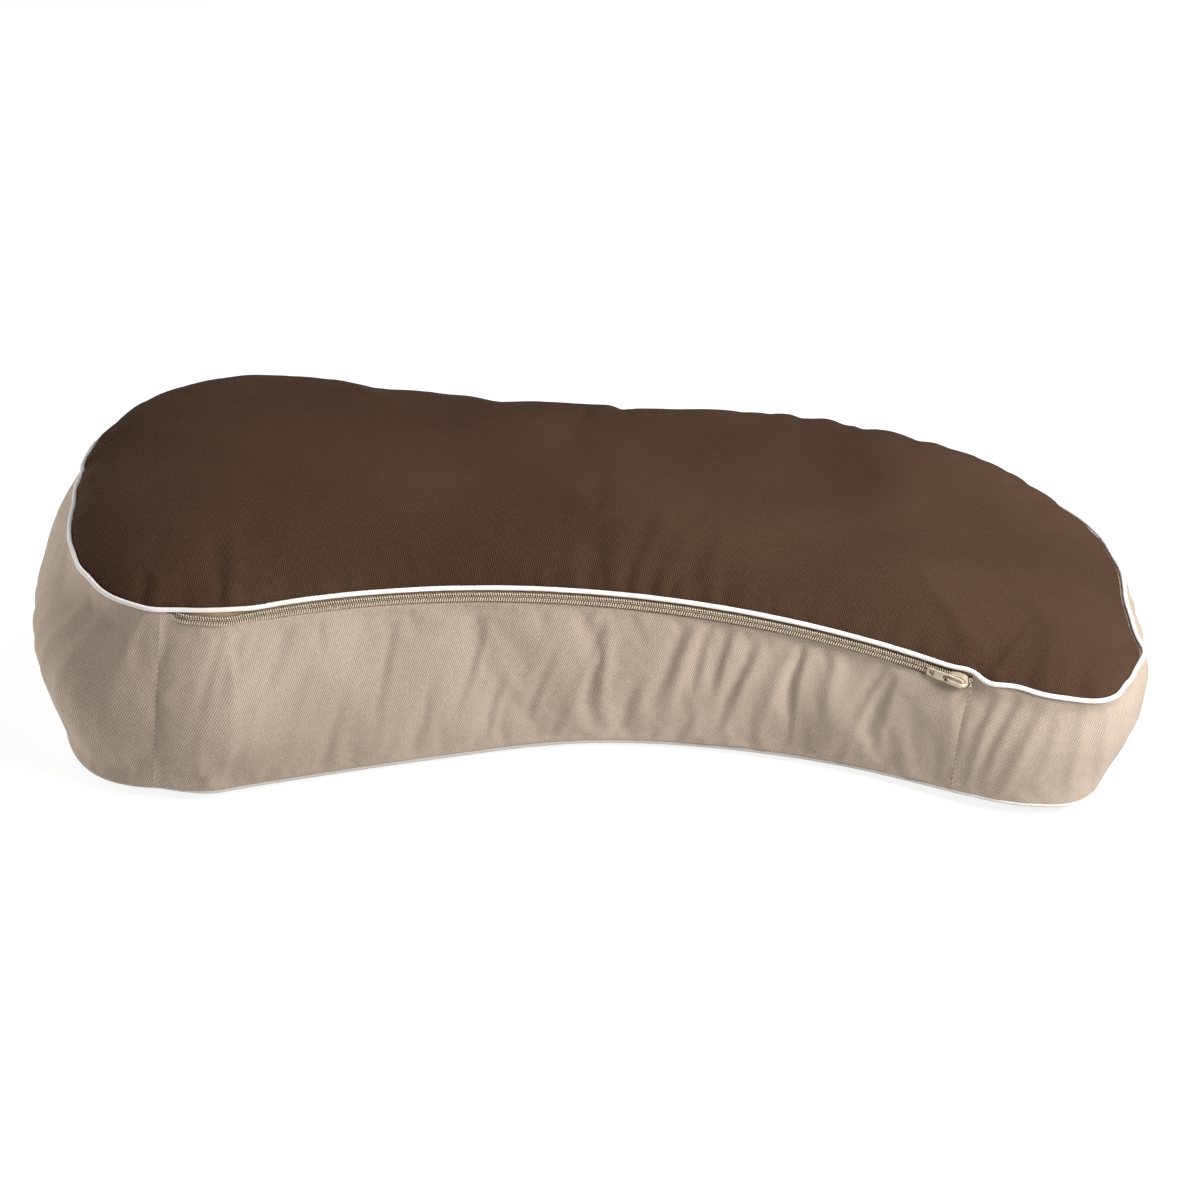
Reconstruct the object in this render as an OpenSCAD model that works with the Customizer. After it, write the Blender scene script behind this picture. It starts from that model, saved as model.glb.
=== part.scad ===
// Long kidney-shaped support cushion: a piped two-colour cover with a curved zip along its
// hollowed front, around a sewn inner case that holds the filling.
// X runs along the cushion, Y from the hollowed front to the back, Z up from the resting face.

/* [Cushion] */
// Height of the top seam above the resting face, at the middle of the cushion
seam_h = 103; // [98:1:108]
// Fall of the top seam's plane from the thick left end to the thin right end, in degrees
slope = 5.7; // [4.5:0.1:6.5]
// Height of the bottom seam above the resting face
foot_h = 5; // [4.5:0.5:7]
// Rise of the top panel above its seam, at the middle of the cushion
crown_h = 22; // [16:1:28]
// Swell of the side wall at the left end
bulge_left = 19.5; // [10:1:23]
// Swell of the side wall at the right end
bulge_right = 7; // [3:1:9]

/* [Fabric] */
// Thickness of the cover fabric
cloth_t = 0.9; // [0.6:0.1:1]
// Thickness of the inner case fabric
case_t = 0.6; // [0.4:0.1:0.7]
// Diameter of the finished piping
piping_d = 3; // [2.6:0.1:3.2]
// Diameter of the cord inside the piping
cord_d = 1.8; // [1.5:0.1:1.9]

/* [Zip] */
// Radius of the curve that the zip follows
arc_r = 416; // [410:1:422]
// Angle of the curve's left end from its middle, in degrees
arc_left = 29.3; // [28.8:0.1:29.6]
// Angle of the curve's right end from its middle, in degrees
arc_right = 26.6; // [26.2:0.1:27]
// Width of the closed pair of coils
chain_w = 5.6; // [5.2:0.1:5.8]
// Length of the pull
pull_len = 20.5; // [20:0.5:26]
// Width of the pull
pull_w = 5.6; // [5.4:0.1:6]

/* [Hidden] */
$fn = 48;

COVER_TOP = "#54382c";
COVER_SIDE = "#b3a48f";
PIPING = "#f3efe9";
CASE = "#ece7db";
FILLING = "#f7f6f2";
ZIP = "#a89677";

// ---- Outline of the seams -------------------------------------------------------------
// The outline lies in the sloping plane of the top seam. Each of its points is
// [x, y, outward x, outward y].

// Centre of the curve that the zip follows
arc_centre = [22, -489.5];
ARC_STEPS = 22;
// The rest of the outline, anticlockwise: [x, y, heading]
RIGHT_AND_BACK = [
    [260, -130, 0], [299, -69, 90], [269, 61, 128], [120, 127, 180],
    [2, 111, 182], [-158, 110, 185], [-250, 72, 232]
];
LEFT_END = [-278, -7, 270];
LEFT_CORNER = [-218, -131, 360];
// Longest step along the outline, and the most that it may turn in one step
STEP_LENGTH = 24;
STEP_TURN = 21;

function mix(a, b, t) = a + (b - a) * t;

function arc_point(a) = [arc_centre.x + arc_r * sin(a), arc_centre.y + arc_r * cos(a)];

// Stretch of the outline from knot a to knot b, without its ends
function stretch(a, b) =
    let (
        chord = norm([b.x - a.x, b.y - a.y]),
        turn = b.z - a.z,
        reach = chord / (3 * pow(cos(turn / 4), 2)),
        p0 = [a.x, a.y],
        p1 = p0 + reach * [cos(a.z), sin(a.z)],
        p3 = [b.x, b.y],
        p2 = p3 - reach * [cos(b.z), sin(b.z)],
        steps = ceil(chord / STEP_LENGTH + abs(turn) / STEP_TURN)
    )
    [for (k = [1:steps - 1])
        let (
            t = k / steps,
            s = 1 - t,
            p = s * s * s * p0 + 3 * s * s * t * p1 + 3 * s * t * t * p2 + t * t * t * p3,
            d = s * s * (p1 - p0) + 2 * s * t * (p2 - p1) + t * t * (p3 - p2)
        )
        [p.x, p.y, d.y / norm(d), -d.x / norm(d)]
    ];

function knot_point(k) = [k.x, k.y, sin(k.z), -cos(k.z)];

// Points of the outline from the first of the knots up to, but not including, the last
function run(knots) = [for (k = [1:len(knots) - 1])
    each concat([knot_point(knots[k - 1])], stretch(knots[k - 1], knots[k]))
];

function arc_rim(from, to) = [for (k = [0:ARC_STEPS])
    let (a = mix(from, to, k / ARC_STEPS), p = arc_point(a))
    [p.x, p.y, -sin(a), -cos(a)]
];

front_rim = arc_rim(-arc_left, arc_right);
arc_start = [each arc_point(-arc_left), 360 + arc_left];
arc_end = [each arc_point(arc_right), -arc_right];
left_rim = run([LEFT_END, LEFT_CORNER]);
corner_rim = run([LEFT_CORNER, arc_start]);
back_run = run([arc_end, each RIGHT_AND_BACK, LEFT_END]);
back_rim = [for (k = [1:len(back_run) - 1]) back_run[k]];
// The whole outline starts at its left end
rim = concat(left_rim, corner_rim, front_rim, back_rim);
// The outline behind the zip, from the right joining seam round to the left one
long_rim = concat(back_run, left_rim, [corner_rim[0]]);

// ---- Surfaces -------------------------------------------------------------------------
// A place is given by a plan position p in the seam plane and a rise w square to it.

function inset(q, d) = [q.x - d * q[2], q.y - d * q[3]];

function place(p, w) = [
    p.x * cos(slope) + w * sin(slope),
    p.y,
    seam_h - p.x * sin(slope) + w * cos(slope)
];

// Rise at which the plan position p is at height z
function rise_to(p, z) = (z - seam_h + p.x * sin(slope)) / cos(slope);

// Part of the front wall, next to the top seam, that stays flat for the zip
FLAT_SHARE = 0.14;
// Swell of the hollowed front, as a share of the swell elsewhere
FRONT_SWELL = 0.35;
// Lift of the bottom seam at the two front corners, its tuck at the left one, and how far out
// the corners are
CORNER_LIFT = 4.5;
CORNER_TUCK = 3;
CORNER_X = 215;
// How far the foot of the right end is drawn in, and where that starts and is complete
END_TUCK = 5;
END_TUCK_FROM = 180;
END_TUCK_TO = 270;
// The two places where the foot of the front stands out: [how far, middle, reach]
FOOT_PUSHES = [[9, -100, 85], [3, 220, 50]];
FOOT_PUSH_FADE = 2.6;
FOOT_PUSH_POWER = 1.5;
// Half of the cushion's length at the seam
HALF_LENGTH = 280;
// How far the widest place of the swell is above the middle at either end, and how round the
// swell is
SWELL_SKEW_LEFT = 1.05;
SWELL_SKEW_RIGHT = 1.4;
SWELL_ROUND = 1.2;

// How far an outline point faces the front, from 0 to 1, and how far it is on a front corner
function facing(q) = max(0, -q[3]);
function corner(q) = facing(q) * min(1, pow(q.x / CORNER_X, 4));

function ease(t) = let (s = max(0, min(1, t))) s * s * (3 - 2 * s);

// How far the foot is drawn in below the outline point q
function foot_tuck(q) = q.x < 0
    ? CORNER_TUCK * corner(q)
    : END_TUCK * (1 - pow(facing(q), 2)) *
        ease((q.x - END_TUCK_FROM) / (END_TUCK_TO - END_TUCK_FROM));

function push_at(x, push) = push[0] * exp(-pow(abs(x - push[1]) / push[2], FOOT_PUSH_FADE));
function foot_push(q) =
    facing(q) * (push_at(q.x, FOOT_PUSHES[0]) + push_at(q.x, FOOT_PUSHES[1]));

function foot_z(q) = foot_h + CORNER_LIFT * corner(q);
// Rise of the bottom seam below the outline point q
function foot_w(q) = rise_to(q, foot_z(q));

// Swell of the side wall at a share of its height
function swell(q, share) =
    let (
        soft = min(1, share / (1 - FLAT_SHARE * facing(q))),
        left = max(0, min(1, (HALF_LENGTH - q.x) / (2 * HALF_LENGTH))),
        skew = mix(SWELL_SKEW_RIGHT, SWELL_SKEW_LEFT, left)
    )
    mix(bulge_right, bulge_left, left) *
    (1 - (1 - FRONT_SWELL) * pow(facing(q), 2)) *
    pow(sin(180 * pow(soft, skew)), SWELL_ROUND);

// Point on the side wall, d inside the outer face, at the rise w below the seam
function wall(q, w, d) =
    let (
        share = 1 - w / foot_w(q),
        tuck = foot_tuck(q) * pow(max(0, 1 - share), 2),
        push = foot_push(q) * pow(max(0, 1 - share), FOOT_PUSH_POWER)
    )
    place(inset(q, d - swell(q, share) + tuck - push), w);

// The line down the middle of the panels that their rings close in on. It is bowed like the
// cushion, and shorter than the outline.
SPINE_SHARE = 0.66;
SPINE_BACK = 22;
SPINE_MIDDLE = 20;
SPINE_BOW = 0.0007;
function spine(p) =
    let (x = SPINE_SHARE * p.x)
    [x, SPINE_BACK - SPINE_BOW * pow(x - SPINE_MIDDLE, 2)];

function ring_at(d, s) = [for (q = rim) mix(inset(q, d), spine(q), s)];

// Ring of the top panel's crown, a share s of the way in, dropped by the depth drop
CROWN_RINGS = [0, 0.06, 0.15, 0.3, 0.55];
// How soon the crown levels off, and how much higher it is for each mm to the left
CROWN_POWER = 2.4;
CROWN_TILT = 0.02;
function crown_ring(d, s, drop) =
    let (
        full = CROWN_RINGS[len(CROWN_RINGS) - 1],
        shape = 1 - pow(1 - s / full, CROWN_POWER)
    )
    [for (p = ring_at(d, s)) place(p, (crown_h - CROWN_TILT * p.x) * shape - drop)];

// Ring of the base, a share s of the way in, raised by the height up; flat from FLAT_FROM in
FOOT_RINGS = [0, 0.05, 0.12, 0.2, 0.3];
FLAT_FROM = 0.2;
function foot_ring(d, s, up) = [for (q = rim)
    let (low = wall(q, foot_w(q), d), mid = spine(q))
    [
        mix(low.x, mid.x, s),
        mix(low.y, mid.y, s),
        foot_z(q) * pow(1 - min(1, s / FLAT_FROM), 2) + up
    ]
];

function reversed(list) = [for (k = [len(list) - 1:-1:0]) list[k]];

// Triangles that fill a loop of points by crossing it from side to side, away from its start
function zigzag(count) = [for (k = [0:count - 3])
    let (
        step = [for (j = [k:k + 2]) j % 2 == 0 ? j / 2 : count - (j + 1) / 2]
    )
    k % 2 == 0 ? step : reversed(step)
];

// Solid through a list of sections with equal numbers of points
module skin(sections, closed = false) {
    count = len(sections[0]);
    last = len(sections) - 1;
    joins = closed ? last : last - 1;
    sides = [for (k = [0:joins], i = [0:count - 1])
        let (
            j = (i + 1) % count,
            a = k * count,
            b = (k == last ? 0 : k + 1) * count
        )
        each [[a + i, b + i, b + j], [a + i, b + j, a + j]]
    ];
    cap = zigzag(count);
    ends = closed ? [] : concat(
        [for (face = cap) reversed(face)],
        [for (face = cap) [for (i = face) last * count + i]]
    );
    polyhedron(
        points = [for (section = sections) each section],
        faces = concat(sides, ends),
        convexity = 6
    );
}

// ---- Depth of each layer under the outer face ------------------------------------------
piping_r = piping_d / 2;
EASE = 0.2;
// The panels and the wall stop short of the piping that lies between them
seam_gap = piping_r + EASE;
case_depth = 4.8;
// Room between the case and the filling
case_room = 0.9;
core_depth = case_depth + case_t + case_room;
// Depths of the case's and the filling's faces under the cover's top and bottom faces
case_drop = 3.2;
case_lift = cloth_t + 0.7;
core_drop = case_drop + case_t + case_room;
core_lift = case_lift + case_t + case_room;

module crown_shell(d, drop, thickness) {
    inner = [for (s = reversed(CROWN_RINGS)) crown_ring(d, s, drop + thickness)];
    outer = [for (s = CROWN_RINGS) crown_ring(d, s, drop)];
    skin(concat(inner, outer));
}

module foot_shell(d, lift, thickness) {
    outer = [for (s = reversed(FOOT_RINGS)) foot_ring(d, s, lift)];
    inner = [for (s = FOOT_RINGS) foot_ring(d, s, lift + thickness)];
    skin(concat(outer, inner));
}

// Section across the side wall at q, from the rise low to the rise high
WALL_SHARES = [0, 0.12, 0.3, 0.5, 0.7, 0.88, 1];
function wall_section(q, low, high, d, thickness) = concat(
    [for (t = WALL_SHARES) wall(q, mix(low, high, t), d)],
    [for (t = reversed(WALL_SHARES)) wall(q, mix(low, high, t), d + thickness)]
);

// ---- Cover -----------------------------------------------------------------------------
module top_panel() {
    color(COVER_TOP) crown_shell(seam_gap, -cloth_t, cloth_t);
}

module bottom_panel() {
    color(COVER_TOP) foot_shell(seam_gap, 0, cloth_t);
}

module gusset_back() {
    color(COVER_SIDE) skin([for (q = long_rim)
        wall_section(q, foot_w(q) + seam_gap, -seam_gap, 0, cloth_t)
    ]);
}

// The strip below the zip: its folded top edge lies along the slider's path, and rises to the
// piping beyond the zip's left end
module gusset_front() {
    joint = 0.05;
    fold = chain_w0 - slider_w / 2 - 0.4;
    start = corner_rim[0];
    first = [for (k = [0:3]) start[k] + joint * (k == 0 ? 1 : 0)];
    beyond = concat([first], [for (k = [1:len(corner_rim) - 1]) corner_rim[k]]);
    color(COVER_SIDE) skin(concat(
        [for (q = beyond) wall_section(q, foot_w(q) + seam_gap, -seam_gap, 0, cloth_t)],
        [for (q = arc_rim(-arc_left, arc_right - joint))
            wall_section(q, foot_w(q) + seam_gap, fold, 0, cloth_t)
        ]
    ));
}

// Round section of radius r on the seam at q, with its centre at the rise w
function round_section(q, w, r, sides) = [for (k = [0:sides - 1])
    let (a = 360 * k / sides)
    place(inset(q, r * cos(a)), w + r * sin(a))
];

function seam_loop(r, sides, at_top) = [for (q = rim)
    let (tuck = at_top ? 0 : foot_tuck(q) - foot_push(q))
    round_section([each inset(q, tuck), q[2], q[3]], at_top ? 0 : foot_w(q), r, sides)
];

COVER_SIDES = 8;
CORD_SIDES = 6;
CORD_ROOM = 0.15;
module piping_cover(at_top) {
    difference() {
        skin(seam_loop(piping_r, COVER_SIDES, at_top), closed = true);
        skin(seam_loop(cord_d / 2 + CORD_ROOM, CORD_SIDES, at_top), closed = true);
    }
}

module top_piping_cover() {
    color(PIPING) piping_cover(true);
}

module bottom_piping_cover() {
    color(PIPING) piping_cover(false);
}

module top_piping_cord() {
    color(FILLING) skin(seam_loop(cord_d / 2, CORD_SIDES, true), closed = true);
}

module bottom_piping_cord() {
    color(FILLING) skin(seam_loop(cord_d / 2, CORD_SIDES, false), closed = true);
}

// A blank label sewn into the back seam, inside the cover
module care_label() {
    label_t = 0.4;
    label_low = -17;
    label_high = -seam_gap - 1;
    label_left = -75;
    label_right = -5;
    color(CASE) skin([for (q = back_rim) if (q.x > label_left && q.x < label_right)
        wall_section(q, label_low, label_high, case_depth / 2, label_t)
    ]);
}

// ---- Inner case and filling ------------------------------------------------------------
module inner_case_top() {
    color(CASE) crown_shell(case_depth, case_drop, case_t);
}

module inner_case_bottom() {
    color(CASE) foot_shell(case_depth, case_lift, case_t);
}

// Rises of the lower and upper edge of the case's side
function case_low(q) = rise_to(q, foot_z(q) + core_lift);
case_high = -case_drop - case_t - EASE;

module inner_case_gusset() {
    color(CASE) skin(
        [for (q = rim) wall_section(q, case_low(q), case_high, case_depth, case_t)],
        closed = true
    );
}

module filling_core() {
    inner_shares = [for (t = WALL_SHARES) if (t > 0 && t < 1) t];
    base = [for (s = reversed(FOOT_RINGS)) foot_ring(core_depth, s, core_lift)];
    side = [for (t = inner_shares)
        [for (q = rim) wall(q, mix(case_low(q), case_high, t), core_depth)]
    ];
    crown = [for (s = CROWN_RINGS) crown_ring(core_depth, s, core_drop)];
    color(FILLING) skin(concat(base, side, crown));
}

// ---- Zip -------------------------------------------------------------------------------
// Everything here is concentric with the curved front seam. Angles along the curve are
// measured from its middle, positive to the right.
slider_w = 7.8;
slider_len = 11;
// Rise of the middle of the chain of coils
chain_w0 = -(piping_r + 0.4 + slider_w / 2);
// Radii, outwards from the cushion being smaller
tape_in = arc_r + 2.2;
tape_out = arc_r + 1.6;
coil_out = arc_r - 0.9;
// Half of the slot between the two coils, which the slider's web runs in
slot = 0.6;
zip_left = -arc_left + 0.15;
zip_right = arc_right - 0.15;
stop_angle = 0.4;
stop_gap = 0.05;
slider_half = slider_len / 2 / arc_r * 180 / PI;
slider_at = zip_right - stop_angle - stop_gap - slider_half;

module in_seam_plane() {
    translate([0, 0, seam_h]) rotate([0, slope, 0]) children();
}

// Strip of a ring round the curve's centre, from angle a to angle b
module arc_strip(a, b, r0, r1, w0, w1) {
    in_seam_plane() translate([arc_centre.x, arc_centre.y, 0]) rotate([0, 0, 90 - b])
        rotate_extrude(angle = b - a, $fn = 360)
            translate([r0, w0]) square([r1 - r0, w1 - w0]);
}

// Moves children to the chain at angle a: x along the chain, y into the cushion
module on_chain(a) {
    in_seam_plane() translate([arc_centre.x, arc_centre.y, chain_w0]) rotate([0, 0, -a])
        translate([0, arc_r, 0]) children();
}

module zip_tape_upper() {
    color(ZIP) arc_strip(
        zip_left, zip_right, tape_out, tape_in, chain_w0 + slot, -0.3
    );
}

module zip_tape_lower() {
    tape_w = 12;
    color(ZIP) arc_strip(
        zip_left, zip_right, tape_out, tape_in, chain_w0 - tape_w, chain_w0 - slot
    );
}

// One row of coils as the solid that it fills, from the slot outwards; side is 1 or -1
module coil(side) {
    row_w = chain_w / 2 - slot;
    low = chain_w0 + (side > 0 ? slot : -chain_w / 2);
    margin = stop_angle + stop_gap;
    start = zip_left + margin;
    end = zip_right - margin;
    in_seam_plane() translate([arc_centre.x, arc_centre.y, 0]) rotate([0, 0, 90 - end])
        rotate_extrude(angle = end - start, $fn = 360) {
            translate([coil_out + row_w / 2, low + row_w / 2]) circle(d = row_w);
            translate([coil_out + row_w / 2, low])
                square([tape_out - 0.05 - coil_out - row_w / 2, row_w]);
        }
}

module zip_coil_upper() {
    color(ZIP) coil(1);
}

module zip_coil_lower() {
    color(ZIP) coil(-1);
}

// Small clamped stop on one or both rows of coils
module stop(a, w0, w1) {
    arc_strip(a, a + stop_angle, coil_out - 0.2, tape_out - 0.05, chain_w0 + w0, chain_w0 + w1);
}

module zip_top_stops() {
    half = chain_w / 2 + 0.1;
    color(ZIP) {
        stop(zip_right - stop_angle, slot, half);
        stop(zip_right - stop_angle, -half, -slot);
    }
}

module zip_bottom_stop() {
    half = chain_w / 2 + 0.1;
    color(ZIP) stop(zip_left, -half, half);
}

// Depths of the slider's faces, measured from the seam's curve into the cushion
plate_out = -2.6;
plate_in = -1.3;
back_out = 2.5;
back_in = 3.5;
flange_t = 0.8;
flange_in = 1.1;
// The bridge over the slider's plate, and the pull's bar inside it
bridge_len = 10.4;
bridge_post = 1.2;
bridge_w = 2.2;
bridge_top = -6.3;
bridge_t = 1;
bar_d = 1.2;
bar_x = 3.2;
bar_y = -3.95;
// How far joined blocks of the slider run into each other
sink = 0.1;

module slider_block(from, to, d0, d1, w0, w1) {
    arc_strip(
        slider_at + from * slider_half, slider_at + to * slider_half,
        arc_r + d0, arc_r + d1, chain_w0 + w0, chain_w0 + w1
    );
}

module bridge() {
    on_chain(slider_at) {
        translate([-bridge_len / 2, bridge_top, -bridge_w / 2])
            cube([bridge_len, bridge_t, bridge_w]);
        for (x = [-bridge_len / 2, bridge_len / 2 - bridge_post])
            translate([x, bridge_top, -bridge_w / 2])
                cube([bridge_post, plate_out - bridge_top + sink, bridge_w]);
    }
}

module zip_slider_body() {
    half = slider_w / 2;
    color(ZIP) {
        slider_block(-1, 1, plate_out, plate_in, -half, half);
        slider_block(-1, 1, back_out, back_in, -half + flange_t, half - flange_t);
        for (w = [-half, half - flange_t])
            slider_block(-1, 1, plate_in - sink, flange_in, w, w + flange_t);
        slider_block(-0.3, 0.3, plate_in - sink, back_out + sink, -slot / 2, slot / 2);
        bridge();
    }
}

module zip_pull() {
    window_len = 9.4;
    window_w = 3.2;
    hole = 2;
    hole_margin = 1.6;
    end_r = 1.4;
    // The pull's free end leans in towards the coils
    lean = 4.5;
    color(ZIP) on_chain(slider_at) translate([bar_x, bar_y, 0]) rotate([0, 0, -lean]) {
        cylinder(d = bar_d, h = pull_w, center = true);
        rotate([90, 0, 0]) linear_extrude(bar_d, center = true) difference() {
            union() {
                translate([-pull_len + end_r, -pull_w / 2])
                    square([pull_len - end_r, pull_w]);
                translate([-pull_len, -pull_w / 2 + end_r])
                    square([end_r + 1, pull_w - 2 * end_r]);
                for (y = [-1, 1])
                    translate([-pull_len + end_r, y * (pull_w / 2 - end_r)]) circle(end_r);
            }
            translate([-window_len + window_w / 2, -window_w / 2])
                square([window_len, window_w]);
            translate([-window_len + window_w / 2, 0]) circle(d = window_w);
            translate([-pull_len + hole_margin, -hole / 2]) square(hole);
        }
    }
}

filling_core();
inner_case_top();
inner_case_bottom();
inner_case_gusset();
top_panel();
bottom_panel();
gusset_back();
gusset_front();
top_piping_cover();
top_piping_cord();
bottom_piping_cover();
bottom_piping_cord();
zip_tape_upper();
zip_tape_lower();
zip_coil_upper();
zip_coil_lower();
zip_top_stops();
zip_bottom_stop();
zip_slider_body();
zip_pull();
care_label();
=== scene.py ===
"""Looks of the long support cushion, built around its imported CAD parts.

Shapes are worked out in millimetres in the row frame, X along the cushion, Y from the hollowed
front to the back and Z up, and turned into metres when a mesh is made.
"""

import math
import random

import bmesh
import bpy
import numpy as np
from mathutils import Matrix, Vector, geometry
from mathutils.bvhtree import BVHTree


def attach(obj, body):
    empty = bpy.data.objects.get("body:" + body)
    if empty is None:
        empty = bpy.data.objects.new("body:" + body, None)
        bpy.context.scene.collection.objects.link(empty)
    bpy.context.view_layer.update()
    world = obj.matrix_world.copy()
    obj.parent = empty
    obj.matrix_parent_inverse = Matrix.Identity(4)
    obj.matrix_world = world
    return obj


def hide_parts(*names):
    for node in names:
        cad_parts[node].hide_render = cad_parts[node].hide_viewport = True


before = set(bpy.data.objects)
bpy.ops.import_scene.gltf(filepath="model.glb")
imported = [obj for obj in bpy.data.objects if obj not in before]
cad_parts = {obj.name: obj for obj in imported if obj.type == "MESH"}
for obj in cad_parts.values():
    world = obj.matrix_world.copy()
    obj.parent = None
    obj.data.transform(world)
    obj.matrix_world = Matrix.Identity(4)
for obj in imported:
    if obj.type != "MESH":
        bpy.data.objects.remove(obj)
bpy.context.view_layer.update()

MM = 0.001

# ---- Driving dimensions, as in part.scad -------------------------------------------------
SEAM_H = 103.0
SLOPE = math.radians(5.7)
FOOT_H = 5.0
CROWN_H = 22.0
CROWN_TILT = 0.02
CROWN_FULL = 0.55
CROWN_POWER = 2.4
BULGE_LEFT = 17.5
BULGE_RIGHT = 7.0
HALF_LENGTH = 280.0
FLAT_SHARE = 0.14
FRONT_SWELL = 0.35
SWELL_SKEW_LEFT = 1.05
SWELL_SKEW_RIGHT = 1.4
SWELL_ROUND = 1.2
CORNER_LIFT = 4.5
CORNER_TUCK = 3.0
CORNER_X = 215.0
FLAT_FROM = 0.2
PIPING_R = 1.25
CORD_R = 0.85

ARC_X, ARC_Y, ARC_R = 22.0, -489.5, 416.0
ARC_LEFT, ARC_RIGHT = -29.3, 26.6
RIGHT_AND_BACK = [
    (260, -130, 0), (299, -69, 90), (269, 61, 128), (120, 127, 180),
    (2, 111, 182), (-158, 110, 185), (-250, 72, 232),
]
LEFT_END = (-278, -7, 270)
LEFT_CORNER = (-218, -131, 360)

CHAIN_W0 = -5.8
SLIDER_AT = 25.2425
COIL_OUT = -0.9
TAPE_OUT = 1.6

# ---- Detail of the fabric -----------------------------------------------------------------
# Spacing of the points along the seams, how far the strips' edges stop short of the seams and
# lie inside the wall, the fabric's thickness, and the depth of its turned-in edges
RIM_STEP = 2.6
EDGE = 1.3
EDGE_SINK = 0.45
CLOTH_T = 0.8
TURN_IN = 2.4
# Rise of the front strip's folded top edge above the plane of the top seam
FOLD_W = -9.5
# The two places where the foot of the front stands out: how far, middle and reach
FOOT_PUSHES = ((9.0, -100.0, 85.0), (3.0, 220.0, 50.0))
FOOT_PUSH_FADE = 2.6
FOOT_PUSH_POWER = 1.5
# How far the foot of the right end is drawn in, where that starts and over what length
END_TUCK = 6.5
END_TUCK_X = 180.0
END_TUCK_LENGTH = 90.0
# The hollow of the front: its middle, half-length and fade
HOLLOW_X = 10.0
HOLLOW_HALF = 235.0
HOLLOW_FADE = 50.0
# How far the bottom piping is tucked in under the side, and in the hollow of the front
FOOT_TUCK = 1.2
HOLLOW_TUCK = 1.8
# How far the side hangs out over the bottom piping, and how high and where that fades
HANG = 1.4
HANG_HEIGHT = 7.0
HANG_TO_X = 150.0
# Roll of the top panel's edge, in front and at the back
EDGE_ROLL = 0.8
EDGE_ROLL_BACK = 3.0
# At the right end the crown drops, the side rolls out over its top seam and the piping shows
RIGHT_END_DROP = 3.0
RIGHT_END_ROLL = 3.2
RIGHT_END_PIPING = 1.2
ROLL_RISE = 0.07
ROLL_FULL = 0.12
ROLL_FADE = 0.3
# How quickly the side leaves the top seam's unevenness behind
SEAM_HOLD = 8
# The line that the crown and the base are gathered to, as a share of the length
SPINE_SHARE = 0.66
SPINE_X, SPINE_Y, SPINE_CURVE = 20.0, 22.0, 0.0007


def mix(a, b, t):
    """From a at t = 0 to b at t = 1."""
    return a + (b - a) * t


def ease(t):
    """Smooth step from 0 to 1."""
    t = np.clip(t, 0.0, 1.0)
    return t * t * (3 - 2 * t)


def bent(value, power):
    """A power that keeps the sign."""
    return np.sign(value) * np.abs(value) ** power


def unit(vectors):
    """Vectors scaled to length 1."""
    return vectors / np.linalg.norm(vectors, axis=-1, keepdims=True)


# ---- Outline of the seams -----------------------------------------------------------------
def heading(degrees):
    """Unit vector in plan, anticlockwise from +X."""
    return np.array([math.cos(math.radians(degrees)), math.sin(math.radians(degrees))])


def arc_point(angle):
    """Plan position on the zip's curve."""
    a = math.radians(angle)
    return np.array([ARC_X + ARC_R * math.sin(a), ARC_Y + ARC_R * math.cos(a)])


STRETCH_POINTS = 161
ARC_POINTS = 401


def stretch(a, b):
    """Dense points of the outline from knot a to knot b, each a plan position and heading."""
    p0, p3 = np.array(a[:2], float), np.array(b[:2], float)
    chord = np.linalg.norm(p3 - p0)
    reach = chord / (3 * math.cos(math.radians((b[2] - a[2]) / 4)) ** 2)
    p1 = p0 + reach * heading(a[2])
    p2 = p3 - reach * heading(b[2])
    t = np.linspace(0, 1, STRETCH_POINTS)[:, None]
    s = 1 - t
    return s**3 * p0 + 3 * s * s * t * p1 + 3 * s * t * t * p2 + t**3 * p3


def run(knots):
    """Dense points of the outline through all the knots."""
    pieces = [stretch(a, b)[:-1] for a, b in zip(knots, knots[1:])]
    return np.concatenate(pieces + [np.array([knots[-1][:2]], float)])


ARC_START = (*arc_point(ARC_LEFT), 360 - ARC_LEFT)
ARC_END = (*arc_point(ARC_RIGHT), -ARC_RIGHT)
STRETCHES = [
    ("left", run([LEFT_END, LEFT_CORNER])),
    ("corner", run([LEFT_CORNER, ARC_START])),
    ("arc", np.array([arc_point(a) for a in np.linspace(ARC_LEFT, ARC_RIGHT, ARC_POINTS)])),
    ("back", run([ARC_END, *RIGHT_AND_BACK, LEFT_END])),
]

# Small kinks of the top seam: plan position, push outwards, lift, and half-length, in mm
KINKS = [
    ((-278, -8), -1.6, 0.8, 7),
    ((-274, -80), 0.9, 0.0, 16),
    ((-262, -110), -0.8, 0.3, 9),
    ((-222, -131), 0.9, 0.0, 9),
    ((-190, -123), -1.4, 1.1, 18),
    ((204, -117), -0.9, 1.0, 8),
    ((213, -124), 1.6, -0.8, 8),
    ((228, -128), -0.8, 0.5, 9),
    ((276, -127), 1.0, 0.0, 11),
    ((286, -112), -1.2, 0.4, 7),
    ((298, -80), 0.9, 0.5, 8),
    ((297, -45), -4.2, 0.0, 42),
]
# Unevenness of the top seam: size, range of waves round the rim, and calm beside the zip
WAVER = 0.45
WAVER_WAVES = range(14, 60, 3)
WAVER_CALM = 0.85
CALM_LENGTH = 30.0


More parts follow.
